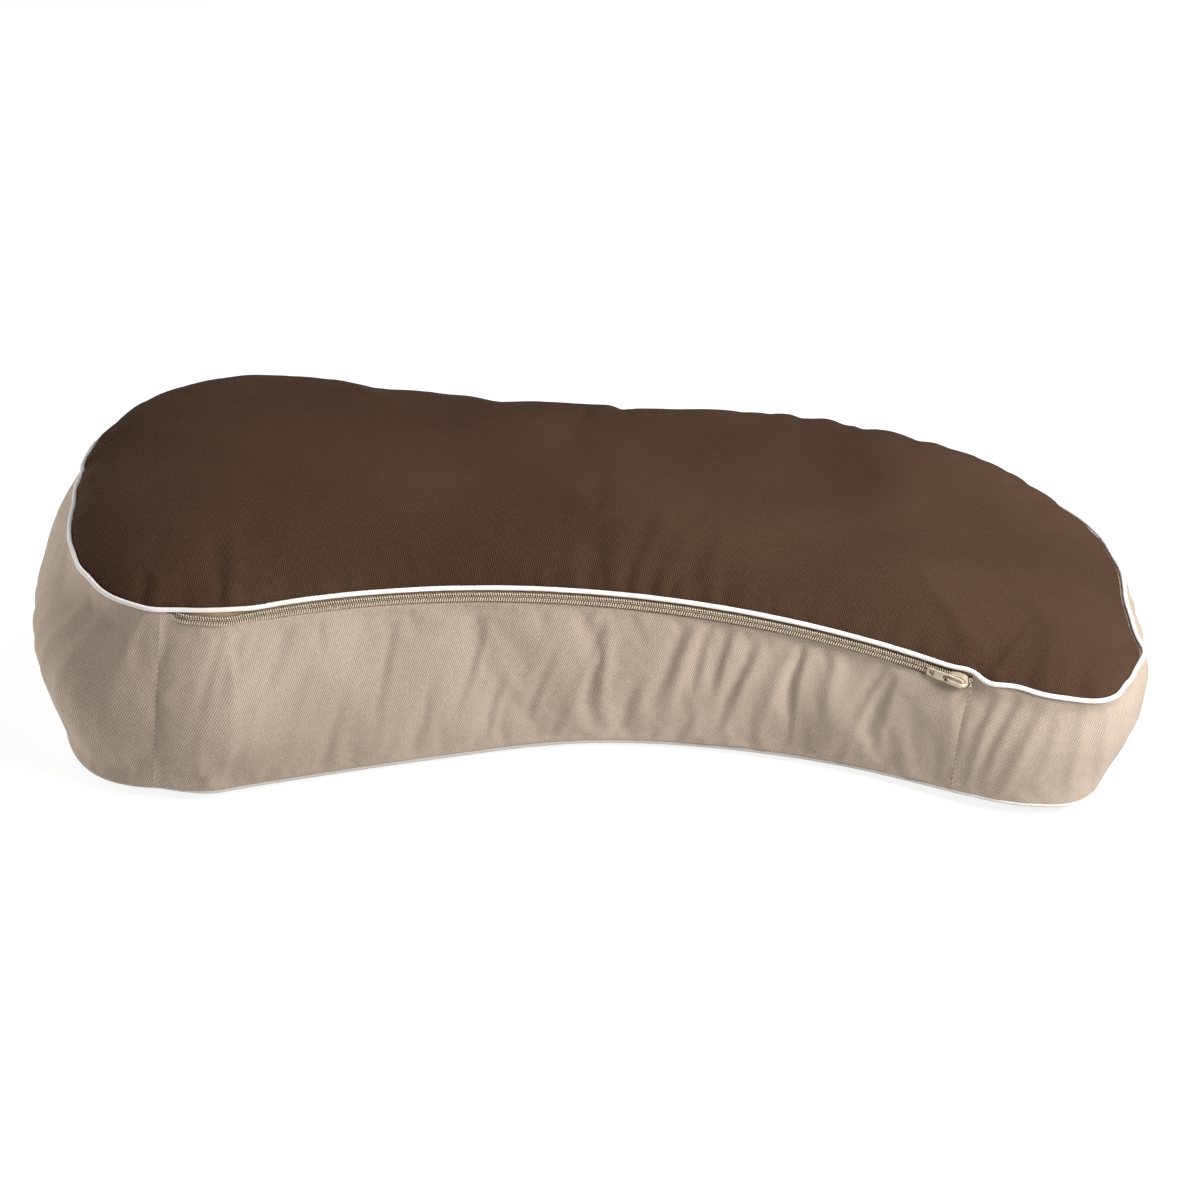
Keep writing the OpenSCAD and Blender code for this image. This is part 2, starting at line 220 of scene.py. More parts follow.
class Rim:
    """Points of the seams' outline, anticlockwise from the left end of the cushion."""

    def __init__(self, step):
        dense = np.concatenate([points[:-1] for _, points in STRETCHES])
        ahead = np.roll(dense, -1, 0) - dense
        length = np.concatenate([[0], np.cumsum(np.linalg.norm(ahead, axis=1))])
        self.length = length[-1]
        tangent = unit(ahead + np.roll(ahead, 1, 0))
        closed = np.concatenate([dense, dense[:1]])
        closed_t = np.concatenate([tangent, tangent[:1]])
        self.u, self.start, first = [], {}, 0
        for name, points in STRETCHES:
            last = first + len(points) - 1
            count = round((length[last] - length[first]) / step)
            self.start[name] = len(self.u)
            self.u += list(np.linspace(length[first], length[last], count + 1)[:-1])
            first = last
        self.u = np.array(self.u)
        self.x, self.y = (np.interp(self.u, length, closed[:, k]) for k in (0, 1))
        tx, ty = (np.interp(self.u, length, closed_t[:, k]) for k in (0, 1))
        size = np.hypot(tx, ty)
        self.nx, self.ny = ty / size, -tx / size
        self.lift, self.push = np.zeros(len(self.u)), np.zeros(len(self.u))
        self.waver()

    def waver(self):
        """Hand-sewn unevenness of the top seam, least beside the zip."""
        rng = random.Random(11)
        push = np.zeros(len(self.u))
        for k in WAVER_WAVES:
            phase = rng.uniform(0, math.tau)
            size = rng.uniform(0.3, 1) * WAVER * WAVER_WAVES[0] / k
            push += size * np.sin(math.tau * k * self.u / self.length + phase)
        a, b = self.start["arc"], self.start["back"]
        calm = np.minimum(np.abs(self.u - self.u[a]), np.abs(self.u - self.u[b])) / CALM_LENGTH
        calm[: a + 1] = 0
        calm[b:] = 0
        self.push = push * (1 - WAVER_CALM * ease(calm))
        for (x, y), out, up, half in KINKS:
            at = np.hypot(self.x - x, self.y - y).argmin()
            away = np.abs(self.u - self.u[at])
            away = np.minimum(away, self.length - away)
            shape = np.exp(-((away / half) ** 2))
            self.push += out * shape
            self.lift += up * shape

    def span(self, first, last):
        """Indices from the start of one stretch up to and including the start of another."""
        a, b = self.start[first], self.start[last]
        count = len(self.u)
        indices = list(range(a, b + 1)) if b > a else list(range(a, count + b + 1))
        return np.array(indices)

    def at(self, indices):
        """x, y, outward x, outward y and unbroken length of these points."""
        i = indices % len(self.u)
        u = self.u[i] + (indices // len(self.u)) * self.length
        return self.x[i], self.y[i], self.nx[i], self.ny[i], u

    def sewn(self, indices, depth=0.0):
        """Plan position and rise of the uneven top seam, depth mm inside it."""
        i = indices % len(self.u)
        out = self.push[i] - depth
        return self.x[i] + out * self.nx[i], self.y[i] + out * self.ny[i], self.lift[i]


def place(x, y, w):
    """World position of plan position (x, y) in the seam plane, w square to the plane."""
    return np.stack([
        x * math.cos(SLOPE) + w * math.sin(SLOPE),
        y + 0 * w,
        SEAM_H - x * math.sin(SLOPE) + w * math.cos(SLOPE),
    ], -1)


def facing(ny):
    """How far a point of the side faces the front, from 0 to 1."""
    return np.maximum(0, -ny)


def corner(x, ny):
    """1 at the two front corners."""
    return facing(ny) * np.minimum(1, (x / CORNER_X) ** 4)


def foot_z(x, ny):
    """Height of the bottom seam, lifted at the front corners."""
    return FOOT_H + CORNER_LIFT * corner(x, ny)


def foot_w(x, ny):
    """Rise of the bottom seam below the top seam's plane."""
    return (foot_z(x, ny) - SEAM_H + x * math.sin(SLOPE)) / math.cos(SLOPE)


def foot_push(x, ny):
    """How far the foot of the front stands out."""
    total = sum(
        out * np.exp(-np.abs((x - at) / reach) ** FOOT_PUSH_FADE) for out, at, reach in FOOT_PUSHES
    )
    return facing(ny) * total


def sag(x, ny):
    """1 where the side hangs over the bottom piping, 0 in the hollow of the front."""
    return 1 - facing(ny) * ease((HOLLOW_HALF - np.abs(x - HOLLOW_X)) / HOLLOW_FADE)


def foot_tuck(x, ny):
    """How far the foot is drawn in at the left front corner and the right end."""
    right = END_TUCK * (1 - facing(ny) ** 2) * ease((x - END_TUCK_X) / END_TUCK_LENGTH)
    return np.where(x < 0, CORNER_TUCK * corner(x, ny), right)


def swell(x, ny, share):
    """How far the side bulges out at a share of its height."""
    soft = np.clip(share / (1 - FLAT_SHARE * facing(ny)), 0, 1)
    left = np.clip((HALF_LENGTH - x) / (2 * HALF_LENGTH), 0, 1)
    skew = mix(SWELL_SKEW_RIGHT, SWELL_SKEW_LEFT, left)
    return (
        mix(BULGE_RIGHT, BULGE_LEFT, left)
        * (1 - (1 - FRONT_SWELL) * facing(ny) ** 2)
        * np.abs(np.sin(math.pi * soft**skew)) ** SWELL_ROUND
    )


def right_end(x, y):
    """1 round the right end, where the side rolls out over its top seam."""
    return ease((x - 262) / 25) * ease((y + 105) / 30) * (1 - ease((y - 30) / 50))


def wall(rim, indices, w, depth):
    """Points on the side wall, depth mm inside its face, at the rises w below the seam."""
    x, y, nx, ny, _ = rim.at(indices)
    i = indices % len(rim.u)
    share = 1 - w / foot_w(x, ny)
    near = np.clip(share, 0, 1)
    below = np.clip(1 - share, 0, 1.1)
    out = swell(x, ny, share) - depth - foot_tuck(x, ny) * below**2
    out = out + foot_push(x, ny) * below**FOOT_PUSH_POWER
    roll = RIGHT_END_ROLL * right_end(x, y) * ease(below / ROLL_RISE)
    out = out + rim.push[i] * near**SEAM_HOLD
    out = out + roll * (1 - ease((below - ROLL_FULL) / ROLL_FADE))
    return place(x + out * nx, y + out * ny, w + rim.lift[i] * near)


def spine(x):
    """The point of the spine that a point of the rim at x is gathered to."""
    x = SPINE_SHARE * x
    return x, SPINE_Y - SPINE_CURVE * (x - SPINE_X) ** 2


# ---- Meshes -------------------------------------------------------------------------------
def make_object(name, points, faces, material, cloth=None):
    """Mesh object from points in mm. cloth gives each point's place on the flat fabric."""
    mesh = bpy.data.meshes.new(name)
    mesh.from_pydata([tuple(p) for p in np.asarray(points) * MM], [], faces)
    mesh.validate()
    if cloth is not None:
        flat = np.zeros((len(points), 3), np.float32)
        flat[:, : np.shape(cloth)[1]] = cloth
        layer = mesh.attributes.new("cloth", "FLOAT_VECTOR", "POINT")
        layer.data.foreach_set("vector", (flat * MM).ravel())
    for polygon in mesh.polygons:
        polygon.use_smooth = True
    made = bpy.data.objects.new(name, mesh)
    made.data.materials.append(material)
    bpy.context.scene.collection.objects.link(made)
    return made


def coordinates(mesh):
    """The mesh's points as an array, in metres."""
    co = np.empty(len(mesh.vertices) * 3, np.float32)
    mesh.vertices.foreach_get("co", co)
    return co.reshape(-1, 3)


def normals(mesh):
    """The mesh's point normals as an array."""
    found = np.empty(len(mesh.vertices) * 3, np.float32)
    mesh.vertex_normals.foreach_get("vector", found)
    return found.reshape(-1, 3)


def set_coordinates(mesh, co):
    """Moves the mesh's points to an array of positions in metres."""
    mesh.vertices.foreach_set("co", np.ascontiguousarray(co, np.float32).ravel())
    mesh.update()


def displace(made, heights):
    """Moves each point along its normal by its height in mm."""
    co = coordinates(made.data) + normals(made.data) * (np.asarray(heights) * MM)[:, None]
    set_coordinates(made.data, co)


def apply_modifiers(made):
    """Turns the object's modifiers into its mesh."""
    graph = bpy.context.evaluated_depsgraph_get()
    mesh = bpy.data.meshes.new_from_object(made.evaluated_get(graph))
    old = made.data
    made.modifiers.clear()
    made.data = mesh
    bpy.data.meshes.remove(old)


def thicken(made, levels=1, thickness=CLOTH_T):
    """Rounds the fabric off and gives it its thickness, inwards."""
    if levels:
        rounding = made.modifiers.new("round", "SUBSURF")
        rounding.levels = rounding.render_levels = levels
        rounding.boundary_smooth = "PRESERVE_CORNERS"
    if thickness:
        solid = made.modifiers.new("thickness", "SOLIDIFY")
        solid.thickness = thickness * MM
        solid.offset = -1
    apply_modifiers(made)


def grid_faces(columns, rows, closed=False):
    """Quads of a grid of points stored column by column."""
    faces = []
    for i in range(columns if closed else columns - 1):
        j = (i + 1) % columns
        for k in range(rows - 1):
            faces.append((i * rows + k, j * rows + k, j * rows + k + 1, i * rows + k + 1))
    return faces


# ---- Cloth simulation ---------------------------------------------------------------------
def relax(made, held, pressure, surplus, frames, cap):
    """Lets the filling press the fabric out while the held points stay sewn down.

    surplus is the share by which the fabric is larger than its place, and cap the furthest that
    a point may move, in mm.
    """
    scene = bpy.context.scene
    before = coordinates(made.data)
    group = made.vertex_groups.new(name="sewn")
    group.add([int(k) for k in np.flatnonzero(held)], 1.0, "REPLACE")
    cloth = made.modifiers.new("cloth", "CLOTH")
    settings = cloth.settings
    settings.quality = 6
    settings.mass = 0.25
    settings.tension_stiffness = settings.compression_stiffness = 18
    settings.shear_stiffness = 8
    settings.bending_stiffness = 0.6
    settings.tension_damping = settings.compression_damping = settings.shear_damping = 12
    settings.bending_damping = 2
    settings.air_damping = 3
    settings.vertex_group_mass = "sewn"
    settings.use_pressure = True
    settings.uniform_pressure_force = pressure
    settings.shrink_min = -surplus
    settings.effector_weights.gravity = 0
    cloth.collision_settings.use_collision = False
    cloth.collision_settings.use_self_collision = False
    cloth.point_cache.frame_start = 1
    cloth.point_cache.frame_end = frames
    for number in range(1, frames + 1):
        scene.frame_set(number)
    graph = bpy.context.evaluated_depsgraph_get()
    moved = coordinates(made.evaluated_get(graph).data) - before
    made.modifiers.remove(cloth)
    made.vertex_groups.remove(group)
    scene.frame_set(1)
    far = np.linalg.norm(moved, axis=1)
    limit = cap * MM
    keep = limit * np.tanh(far / limit) / np.maximum(far, 1e-9)
    keep[held] = 0
    set_coordinates(made.data, before + moved * keep[:, None])


# ---- Folds --------------------------------------------------------------------------------
def gathers(seed, length, spacing, depth, reach, width):
    """Seeded gathers along a seam: (place along it, depth, reach, half-width, slant)."""
    rng = random.Random(seed)
    made, u = [], rng.uniform(0, spacing)
    while u < length:
        made.append((
            u,
            depth * rng.uniform(0.35, 1.0),
            reach * rng.uniform(0.5, 1.3),
            width * rng.uniform(0.7, 1.4),
            rng.uniform(-0.25, 0.35),
        ))
        u += spacing * rng.uniform(0.5, 1.5)
    return made


def gather_heights(u, v, folds, length):
    """Sum of the gathers at distance v from their seam, each a groove beside a low ridge."""
    total = np.zeros(len(u))
    for at, depth, reach, width, slant in folds:
        away = (u - at - slant * v + length / 2) % length - length / 2
        near = np.abs(away) < 5 * width
        fade = np.exp(-((v[near] / reach) ** 1.5))
        spread = width * (1 + 0.5 * v[near] / reach)
        groove = np.exp(-((away[near] / spread) ** 2))
        ridge = np.exp(-(((away[near] - 1.7 * spread) / (1.3 * spread)) ** 2))
        total[near] += depth * fade * (0.55 * ridge - groove)
    return total


def long_folds(u, v, folds):
    """Soft folds across the side: u and v of the middle, height, half-length, width and lean."""
    total = np.zeros(len(u))
    for at_u, at_v, height, half, width, lean in folds:
        up = v - at_v
        away = u - at_u - lean * up - 0.002 * up * up
        fade = np.exp(-np.abs(up / half) ** 2.6)
        ridge = np.exp(-((away / width) ** 2))
        groove = np.exp(-(((away + 1.6 * width) / (1.25 * width)) ** 2))
        total += height * fade * (ridge - 0.8 * groove)
    return total


def rolling(points, size, seed):
    """Low, wide unevenness of a stuffed surface, between -1 and 1 or so."""
    rng = random.Random(seed)
    total = np.zeros(len(points))
    for _ in range(12):
        direction = np.array([rng.gauss(0, 1) for _ in range(3)])
        direction /= np.linalg.norm(direction)
        wave = size * rng.uniform(0.6, 1.8)
        total += np.sin(points @ direction * math.tau / wave + rng.uniform(0, math.tau))
    return total / math.sqrt(12)


# ---- Materials ----------------------------------------------------------------------------
def node(tree, kind, inputs=None, **settings):
    """Adds a shader node; an input is a value, or an output socket to link."""
    made = tree.nodes.new("ShaderNode" + kind)
    for key, value in settings.items():
        setattr(made, key, value)
    for key, value in (inputs or {}).items():
        if isinstance(value, bpy.types.NodeSocket):
            tree.links.new(value, made.inputs[key])
        else:
            made.inputs[key].default_value = value
    return made


def math_node(tree, operation, a, b=0.0):
    """Result of an operation on two values."""
    return node(tree, "Math", {0: a, 1: b}, operation=operation).outputs[0]


def weighted(tree, *terms):
    """Sum of values, each times its weight."""
    total = None
    for value, weight in terms:
        part = math_node(tree, "MULTIPLY", value, weight)
        total = math_node(tree, "ADD", total, part) if total else part
    return total


def between(tree, value, low, high, at_low=0.0, at_high=1.0):
    """Maps the range from low to high on to another range, held at both ends."""
    return node(tree, "MapRange", {0: value, 1: low, 2: high, 3: at_low, 4: at_high}).outputs[0]


def tinted(tree, share, base, tint):
    """A colour mixed towards a tint."""
    return node(tree, "Mix", {0: share, 6: base, 7: tint}, data_type="RGBA").outputs[2]


def object_place(tree):
    """Place in the cushion's own frame, in metres."""
    return node(tree, "TexCoord").outputs["Object"]


def colour(hex_code):
    """Linear RGBA of an sRGB hex code."""
    parts = [int(hex_code[k : k + 2], 16) / 255 for k in (0, 2, 4)]
    linear = [p / 12.92 if p <= 0.04045 else ((p + 0.055) / 1.055) ** 2.4 for p in parts]
    return (*linear, 1.0)


def new_material(name, roughness, sheen=0.0, specular=0.5):
    """A material with its node tree and shader."""
    material = bpy.data.materials.new(name)
    material.use_nodes = True
    tree = material.node_tree
    shader = tree.nodes["Principled BSDF"]
    shader.inputs["Roughness"].default_value = roughness
    shader.inputs["Specular IOR Level"].default_value = specular
    shader.inputs["Sheen Weight"].default_value = sheen
    shader.inputs["Sheen Roughness"].default_value = 0.5
    return material, tree, shader


def dress(made, base, height, strength, relief_mm):
    """Gives a new material its colour, and its relief from a height."""
    material, tree, shader = made
    tree.links.new(base, shader.inputs["Base Color"])
    bump = node(
        tree, "Bump", {"Height": height, "Strength": strength, "Distance": relief_mm * MM}
    )
    tree.links.new(bump.outputs["Normal"], shader.inputs["Normal"])
    return material


def noise(tree, scale, vector, detail=3.0, distortion=0.0):
    """Noise from 0 to 1, its scale per metre."""
    made = node(
        tree, "TexNoise",
        {"Vector": vector, "Scale": scale, "Detail": detail, "Distortion": distortion},
    )
    return made.outputs["Fac"]


def bands(tree, vector, pitch_mm, direction="X", distortion=0.0):
    """Wave texture whose bands repeat every pitch_mm along one coordinate."""
    scale = math.tau / (20 * pitch_mm * MM)
    if direction == "DIAGONAL":
        scale = math.tau / (10 * pitch_mm * MM * math.sqrt(2))
    made = node(
        tree, "TexWave",
        {"Vector": vector, "Scale": scale, "Distortion": distortion, "Detail": 2.0,
         "Detail Scale": 1.5},
        bands_direction=direction, wave_profile="SIN",
    )
    return made.outputs["Fac"]


def cloth_place(tree, turn=0.0, squeeze=1.0):
    """Place on the flat fabric, in metres, turned by some degrees."""
    flat = node(tree, "Attribute", attribute_name="cloth").outputs["Vector"]
    turned = node(
        tree, "Mapping",
        {"Vector": flat, "Rotation": (0, 0, math.radians(turn)), "Scale": (1, squeeze, 1)},
    )
    return turned.outputs["Vector"]


def ramp(tree, factor, stops):
    """Colour ramp with (position, colour) stops."""
    made = node(tree, "ValToRGB", {"Fac": factor})
    elements = made.color_ramp.elements
    while len(elements) < len(stops):
        elements.new(0.5)
    for element, (position, value) in zip(elements, stops):
        element.position = position
        element.color = value
    return made.outputs["Color"]


# Pitches of the weaves, and the heights over which the piping's painted shade fades out near the
# floor, in mm
RIB_PITCH = 1.1
YARN_PITCH = 0.62
BIAS_PITCH = 0.42
FLOOR_SHADE_FULL, FLOOR_SHADE_NONE = 6.0, 14.0


def twill(name, dark, light, shadow, turn, rough=0.95, sheen=0.05, specular=0.15):
    """Fine twill: slanting ribs crossed by yarns, with slight slubs and wide tonal drift."""
    made = new_material(name, rough, sheen, specular)
    tree = made[1]
    ribs = bands(tree, cloth_place(tree, turn, 0.8), RIB_PITCH, "DIAGONAL", 0.9)
    yarns = bands(tree, cloth_place(tree, turn + 90), YARN_PITCH, "DIAGONAL", 0.6)
    slubs = noise(tree, 900.0, cloth_place(tree, turn, 0.35), 2.0)
    drift = noise(tree, 9.0, object_place(tree), 3.0, 0.3)
    weave = weighted(tree, (ribs, 0.6), (yarns, 0.22), (slubs, 0.45))
    tone = weighted(tree, (weave, 0.52), (drift, 0.42))
    base = ramp(tree, tone, [(0.26, shadow), (0.5, dark), (0.77, light)])
    return dress(made, base, weave, 0.45, 0.3)


def piping_fabric():
    """Off-white cotton cut on the bias, its plain weave at 45 degrees, with shade painted on it
    near the floor.
    """
    made = new_material("piping_bias_cotton", 0.8, 0.15, 0.25)
    tree = made[1]
    at = cloth_place(tree, 45)
    threads = [bands(tree, at, BIAS_PITCH, direction, 0.6) for direction in "XY"]
    weave = math_node(tree, "ADD", *threads)
    soil = noise(tree, 30.0, object_place(tree), 4.0)
    unshaded = ramp(tree, weighted(tree, (weave, 0.25), (soil, 0.5)), [
        (0.15, colour("cfc8bf")), (0.45, colour("e8e2de")), (0.8, colour("f1ecea")),
    ])
    # Painted shade: low down, near the floor, the piping's colour is mixed towards grey.
    height = node(tree, "SeparateXYZ", {0: object_place(tree)}).outputs["Z"]
    low = between(tree, height, FLOOR_SHADE_FULL * MM, FLOOR_SHADE_NONE * MM, 0.6, 0.0)
    return dress(made, tinted(tree, low, unshaded, colour("8c8379")), weave, 0.3, 0.12)


def plain_weave(name, dark, light, pitch, rough=0.9, strength=0.3):
    """Plain woven cloth or tape with even yarns both ways."""
    made = new_material(name, rough, 0.1, 0.25)
    tree = made[1]
    at = cloth_place(tree)
    threads = [bands(tree, at, pitch, direction, 0.4) for direction in "XY"]
    weave = math_node(tree, "MULTIPLY", *threads)
    drift = noise(tree, 40.0, object_place(tree), 3.0)
    base = ramp(tree, weighted(tree, (weave, 0.6), (drift, 0.4)), [(0.1, dark), (0.7, light)])
    return dress(made, base, weave, strength, 0.15)


def coil_nylon():
    """Dyed nylon monofilament, slightly glossy, with shade painted dark brown where the wire sinks
    towards the tape.
    """
    material, tree, shader = new_material("zip_coil_nylon", 0.38, 0.0, 0.5)
    place_3d = object_place(tree)
    dyed = ramp(tree, noise(tree, 700.0, place_3d, 3.0), [
        (0.25, colour("bba892")), (0.5, colour("d6c5b0")), (0.8, colour("e8dac7")),
    ])
    # Painted shade: the wire's colour is mixed towards dark brown where it lies deepest, towards
    # the tape.
    sunk = node(tree, "SeparateXYZ", {0: cloth_place(tree)}).outputs["Y"]
    painted_shade = between(tree, sunk, 0.35, 0.8, 0.0, 0.75)
    tree.links.new(tinted(tree, painted_shade, dyed, colour("5f4c38")), shader.inputs["Base Color"])
    rough = between(tree, noise(tree, 2500.0, place_3d), 0.0, 1.0, 0.28, 0.5)
    tree.links.new(rough, shader.inputs["Roughness"])
    return material


def painted_metal():
    """Khaki enamel over a cast slider: fine orange peel, and paint worn thin along its edges."""
    made = new_material("zip_enamel", 0.34, 0.0, 0.5)
    _, tree, shader = made
    shader.inputs["Coat Weight"].default_value = 0.3
    shader.inputs["Coat Roughness"].default_value = 0.2
    place_3d = object_place(tree)
    peel = noise(tree, 1800.0, place_3d, 2.0)
    mottle = noise(tree, 260.0, place_3d, 4.0)
    paint = ramp(tree, mottle, [(0.3, colour("ae9d86")), (0.7, colour("cabca6"))])
    edge = node(tree, "NewGeometry").outputs["Pointiness"]
    wear = math_node(tree, "MULTIPLY", between(tree, edge, 0.53, 0.62),
                     between(tree, mottle, 0.45, 0.6))
    tree.links.new(between(tree, peel, 0.0, 1.0, 0.28, 0.46), shader.inputs["Roughness"])
    return dress(made, tinted(tree, wear, paint, colour("dcd5c8")), peel, 0.15, 0.05)


def fibre_filling():
    """Loose white fibre: matted strands with soft hollows."""
    made = new_material("filling_fibre", 1.0, 0.3, 0.1)
    tree = made[1]
    place_3d = object_place(tree)
    strands = noise(tree, 220.0, place_3d, 6.0, 2.5)
    clumps = noise(tree, 35.0, place_3d, 3.0, 0.5)
    tone = weighted(tree, (strands, 0.6), (clumps, 0.4))
    base = ramp(tree, tone, [(0.3, colour("dcdad4")), (0.7, colour("fbfaf7"))])
    return dress(made, base, tone, 0.8, 1.5)


def studio_floor():
    """Plain pale paper, very slightly uneven in tone."""
    material, tree, shader = new_material("studio_paper", 0.95, 0.0, 0.1)
    drift = noise(tree, 3.0, object_place(tree), 2.0)
    base = ramp(tree, drift, [(0.3, (0.24, 0.24, 0.24, 1)), (0.7, (0.27, 0.27, 0.27, 1))])
    tree.links.new(base, shader.inputs["Base Color"])
    shader.inputs["Emission Color"].default_value = (1, 1, 1, 1)
    shader.inputs["Emission Strength"].default_value = 0.88
    return material


MATERIALS = {
    "top": twill("cover_brown_twill", colour("3f2c22"), colour("503c2f"), colour("2b1e17"), 20,
                 rough=1.0, sheen=0.0, specular=0.08),
    "side": twill("cover_khaki_twill", colour("9f8f80"), colour("bbac9e"), colour("817162"), 70),
    "piping": piping_fabric(),
    "tape": plain_weave("zip_tape_weave", colour("8d7a63"), colour("b09c85"), 0.8),
    "coil": coil_nylon(),
    "metal": painted_metal(),
    "case": plain_weave("case_cotton", colour("d8d2c4"), colour("f1ede3"), 0.7),
    "filling": fibre_filling(),
    "label": plain_weave("label_satin", colour("e6e1d6"), colour("faf7f0"), 0.35, 0.55, 0.15),
}


def finish_piece(made, node_name, body="cushion"):
    """The piece moves with a body and stands in for a CAD node, whose part is hidden."""
    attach(made, body)
    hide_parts(node_name)
    return made


# ---- Panels -------------------------------------------------------------------------------
rim = Rim(RIM_STEP)


# Rings of a ray target, how high the rays start, and the panels' rings and point spacing
TARGET_RINGS = 60
RAY_FROM = 500.0
TOP_RINGS = (1.05, 2.4, 4.4, 7.2)
TOP_SPACING = 3.7
BASE_RINGS = (EDGE, 2.8, 5.0, 8.0)
BASE_SPACING = 4.6


def inset_ring(depth, w):
    """Ring inside the top seam: plan positions and rises."""
    x, y, lift = rim.sewn(np.arange(len(rim.u)), depth)
    return x, y, w + lift


def crown_shape(share):
    """Rise of the crown from its seam at 0 to its middle at 1, as a share of its height."""
    return 1 - (1 - min(1, share / CROWN_FULL)) ** CROWN_POWER


def base_rise(x, ny, share):
    """Height of the base from its seam at 0 to its flat middle."""
    return foot_z(x, ny) * (1 - min(1, share / FLAT_FROM)) ** 2


def crown_tree():
    """Ray target with the crown's rise over each plan position of the seam plane."""
    x, y, lift = rim.sewn(np.arange(len(rim.u)))
    sx, sy = spine(x)
    points = []
    for s in np.linspace(0, 1, TARGET_RINGS):
        px, py = mix(x, sx, s), mix(y, sy, s)
        rise = (CROWN_H - CROWN_TILT * px) * crown_shape(s) + lift * (1 - min(1, 4 * s))
        points.append(np.stack([px, py, rise], -1))
    return ring_target(points)


def foot_tree():
    """Ray target with the height of the base over each plan position."""
    everywhere = np.arange(len(rim.u))
    x, _, _, ny, _ = rim.at(everywhere)
    low = wall(rim, everywhere, foot_w(x, ny), 0)
    sx, sy = spine(x)
    points = []
    for s in np.linspace(0, 1, TARGET_RINGS):
        px, py = mix(low[:, 0], sx, s), mix(low[:, 1], sy, s)
        points.append(np.stack([px, py, base_rise(x, ny, s)], -1))
    return ring_target(points)


def ring_target(rings):
    """Ray target of triangles between rings of points."""
    count = len(rings[0])
    points = [Vector(p) for ring in rings for p in ring]
    faces = []
    for k in range(len(rings) - 1):
        for i in range(count):
            j = (i + 1) % count
            faces.append((k * count + i, k * count + j, (k + 1) * count + j))
            faces.append((k * count + i, (k + 1) * count + j, (k + 1) * count + i))
    return BVHTree.FromPolygons(points, faces)


def dropped(target, flat):
    """Height at which a ray from above meets the target, at each plan position."""
    heights = np.zeros(len(flat))
    for k, (x, y) in enumerate(flat):
        hit = target.ray_cast(Vector((x, y, RAY_FROM)), Vector((0, 0, -1)))[0]
        heights[k] = hit.z if hit is not None else 0
    return heights


def fill_points(ring, spacing, margin):
    """Even triangular grid inside the ring, margin mm clear of it."""
    low, high = ring.min(0), ring.max(0)
    rows = np.arange(low[1], high[1], spacing * math.sqrt(3) / 2)
    found = []
    for number, y in enumerate(rows):
        xs = np.arange(low[0] + (spacing / 2 if number % 2 else 0), high[0], spacing)
        found.append(np.stack([xs, np.full(len(xs), y)], -1))
    found = np.concatenate(found)
    inside = np.zeros(len(found), bool)
    nearest = np.full(len(found), 1e9)
    for p, q in zip(ring, np.roll(ring, -1, 0)):
        crosses = (p[1] > found[:, 1]) != (q[1] > found[:, 1])
        with np.errstate(divide="ignore", invalid="ignore"):
            at = p[0] + (found[:, 1] - p[1]) * (q[0] - p[0]) / (q[1] - p[1])
        inside ^= crosses & (found[:, 0] < at)
        nearest = np.minimum(nearest, np.hypot(found[:, 0] - p[0], found[:, 1] - p[1]))
    return found[inside & (nearest > margin)]


def panel_mesh(rings, spacing):
    """Plan points and triangles of a panel: its first rings, then an even grid."""
    inner = fill_points(rings[-1], spacing, 0.75 * spacing)
    flat = np.concatenate(rings + [inner])
    count = len(rings[0])
    edges = [(i, (i + 1) % count) for i in range(count)]
    points, _, faces, _, _, _ = geometry.delaunay_2d_cdt(
        [Vector(p) for p in flat], edges, [], 1, 1e-6
    )
    return np.array([tuple(p) for p in points]), [tuple(f) for f in faces]


def rim_distance(points, ring):
    """For each point, the length along the rim of the nearest ring point, and how far it is."""
    along, away = np.empty(len(points)), np.empty(len(points))
    for part in np.array_split(np.arange(len(points)), 16):
        gap = np.hypot(*(points[part, None, k] - ring[:, k] for k in (0, 1)))
        along[part] = rim.u[gap.argmin(1)]
        away[part] = gap.min(1)
    return along, away


def add_skirt(points, faces, edge, rows):
    """Turns the panel's edge in along further rows of points, seam allowance and all."""
    count = len(edge)
    points = np.concatenate([points] + rows)
    before = list(edge)
    first = len(points) - count * len(rows)
    for row in range(len(rows)):
        now = list(range(first + row * count, first + (row + 1) * count))
        for i in range(count):
            j = (i + 1) % count
            faces.append((before[i], now[i], now[j], before[j]))
        before = now
    return points, faces


def skirt_cloth(flat, points, count):
    """Each point's place on the flat fabric; the turned-in rows take the edge's own."""
    cloth = np.zeros((len(points), 2))
    cloth[: len(flat)] = flat
    for first in range(len(flat), len(points), count):
        cloth[first : first + count] = flat[:count]
    return cloth


TOP_GATHERS = gathers(5, rim.length, 14, 0.9, 15, 3.4)
TOP_PUCKERS = gathers(8, rim.length, 9, 2.0, 22, 2.3)
BACK_SCALLOPS = gathers(13, rim.length, 17, 2.0, 26, 4.4)

# Single folds of the top panel: start on the seam, depth, reach, half-width and slant
TOP_FOLDS = [
    ((15, 111), 2.4, 26, 3.0, 0.1),
    ((-276, 14), 1.6, 42, 2.6, -0.8),
    ((-271, 30), 1.5, 38, 2.4, -0.7),
    ((-278, -4), 1.8, 40, 2.8, -0.6),
    ((-262, 55), 1.2, 34, 2.6, -0.5),
    ((-250, -122), 1.6, 22, 3.6, 0.3),
    ((-228, -131), 1.4, 26, 4.0, -0.2),
    ((-188, -125), 1.2, 24, 4.2, 0.1),
    ((206, -118), 1.6, 30, 4.6, 0.3),
    ((232, -128), 1.3, 34, 5.2, -0.2),
    ((262, -130), 1.2, 30, 5.0, 0.2),
]


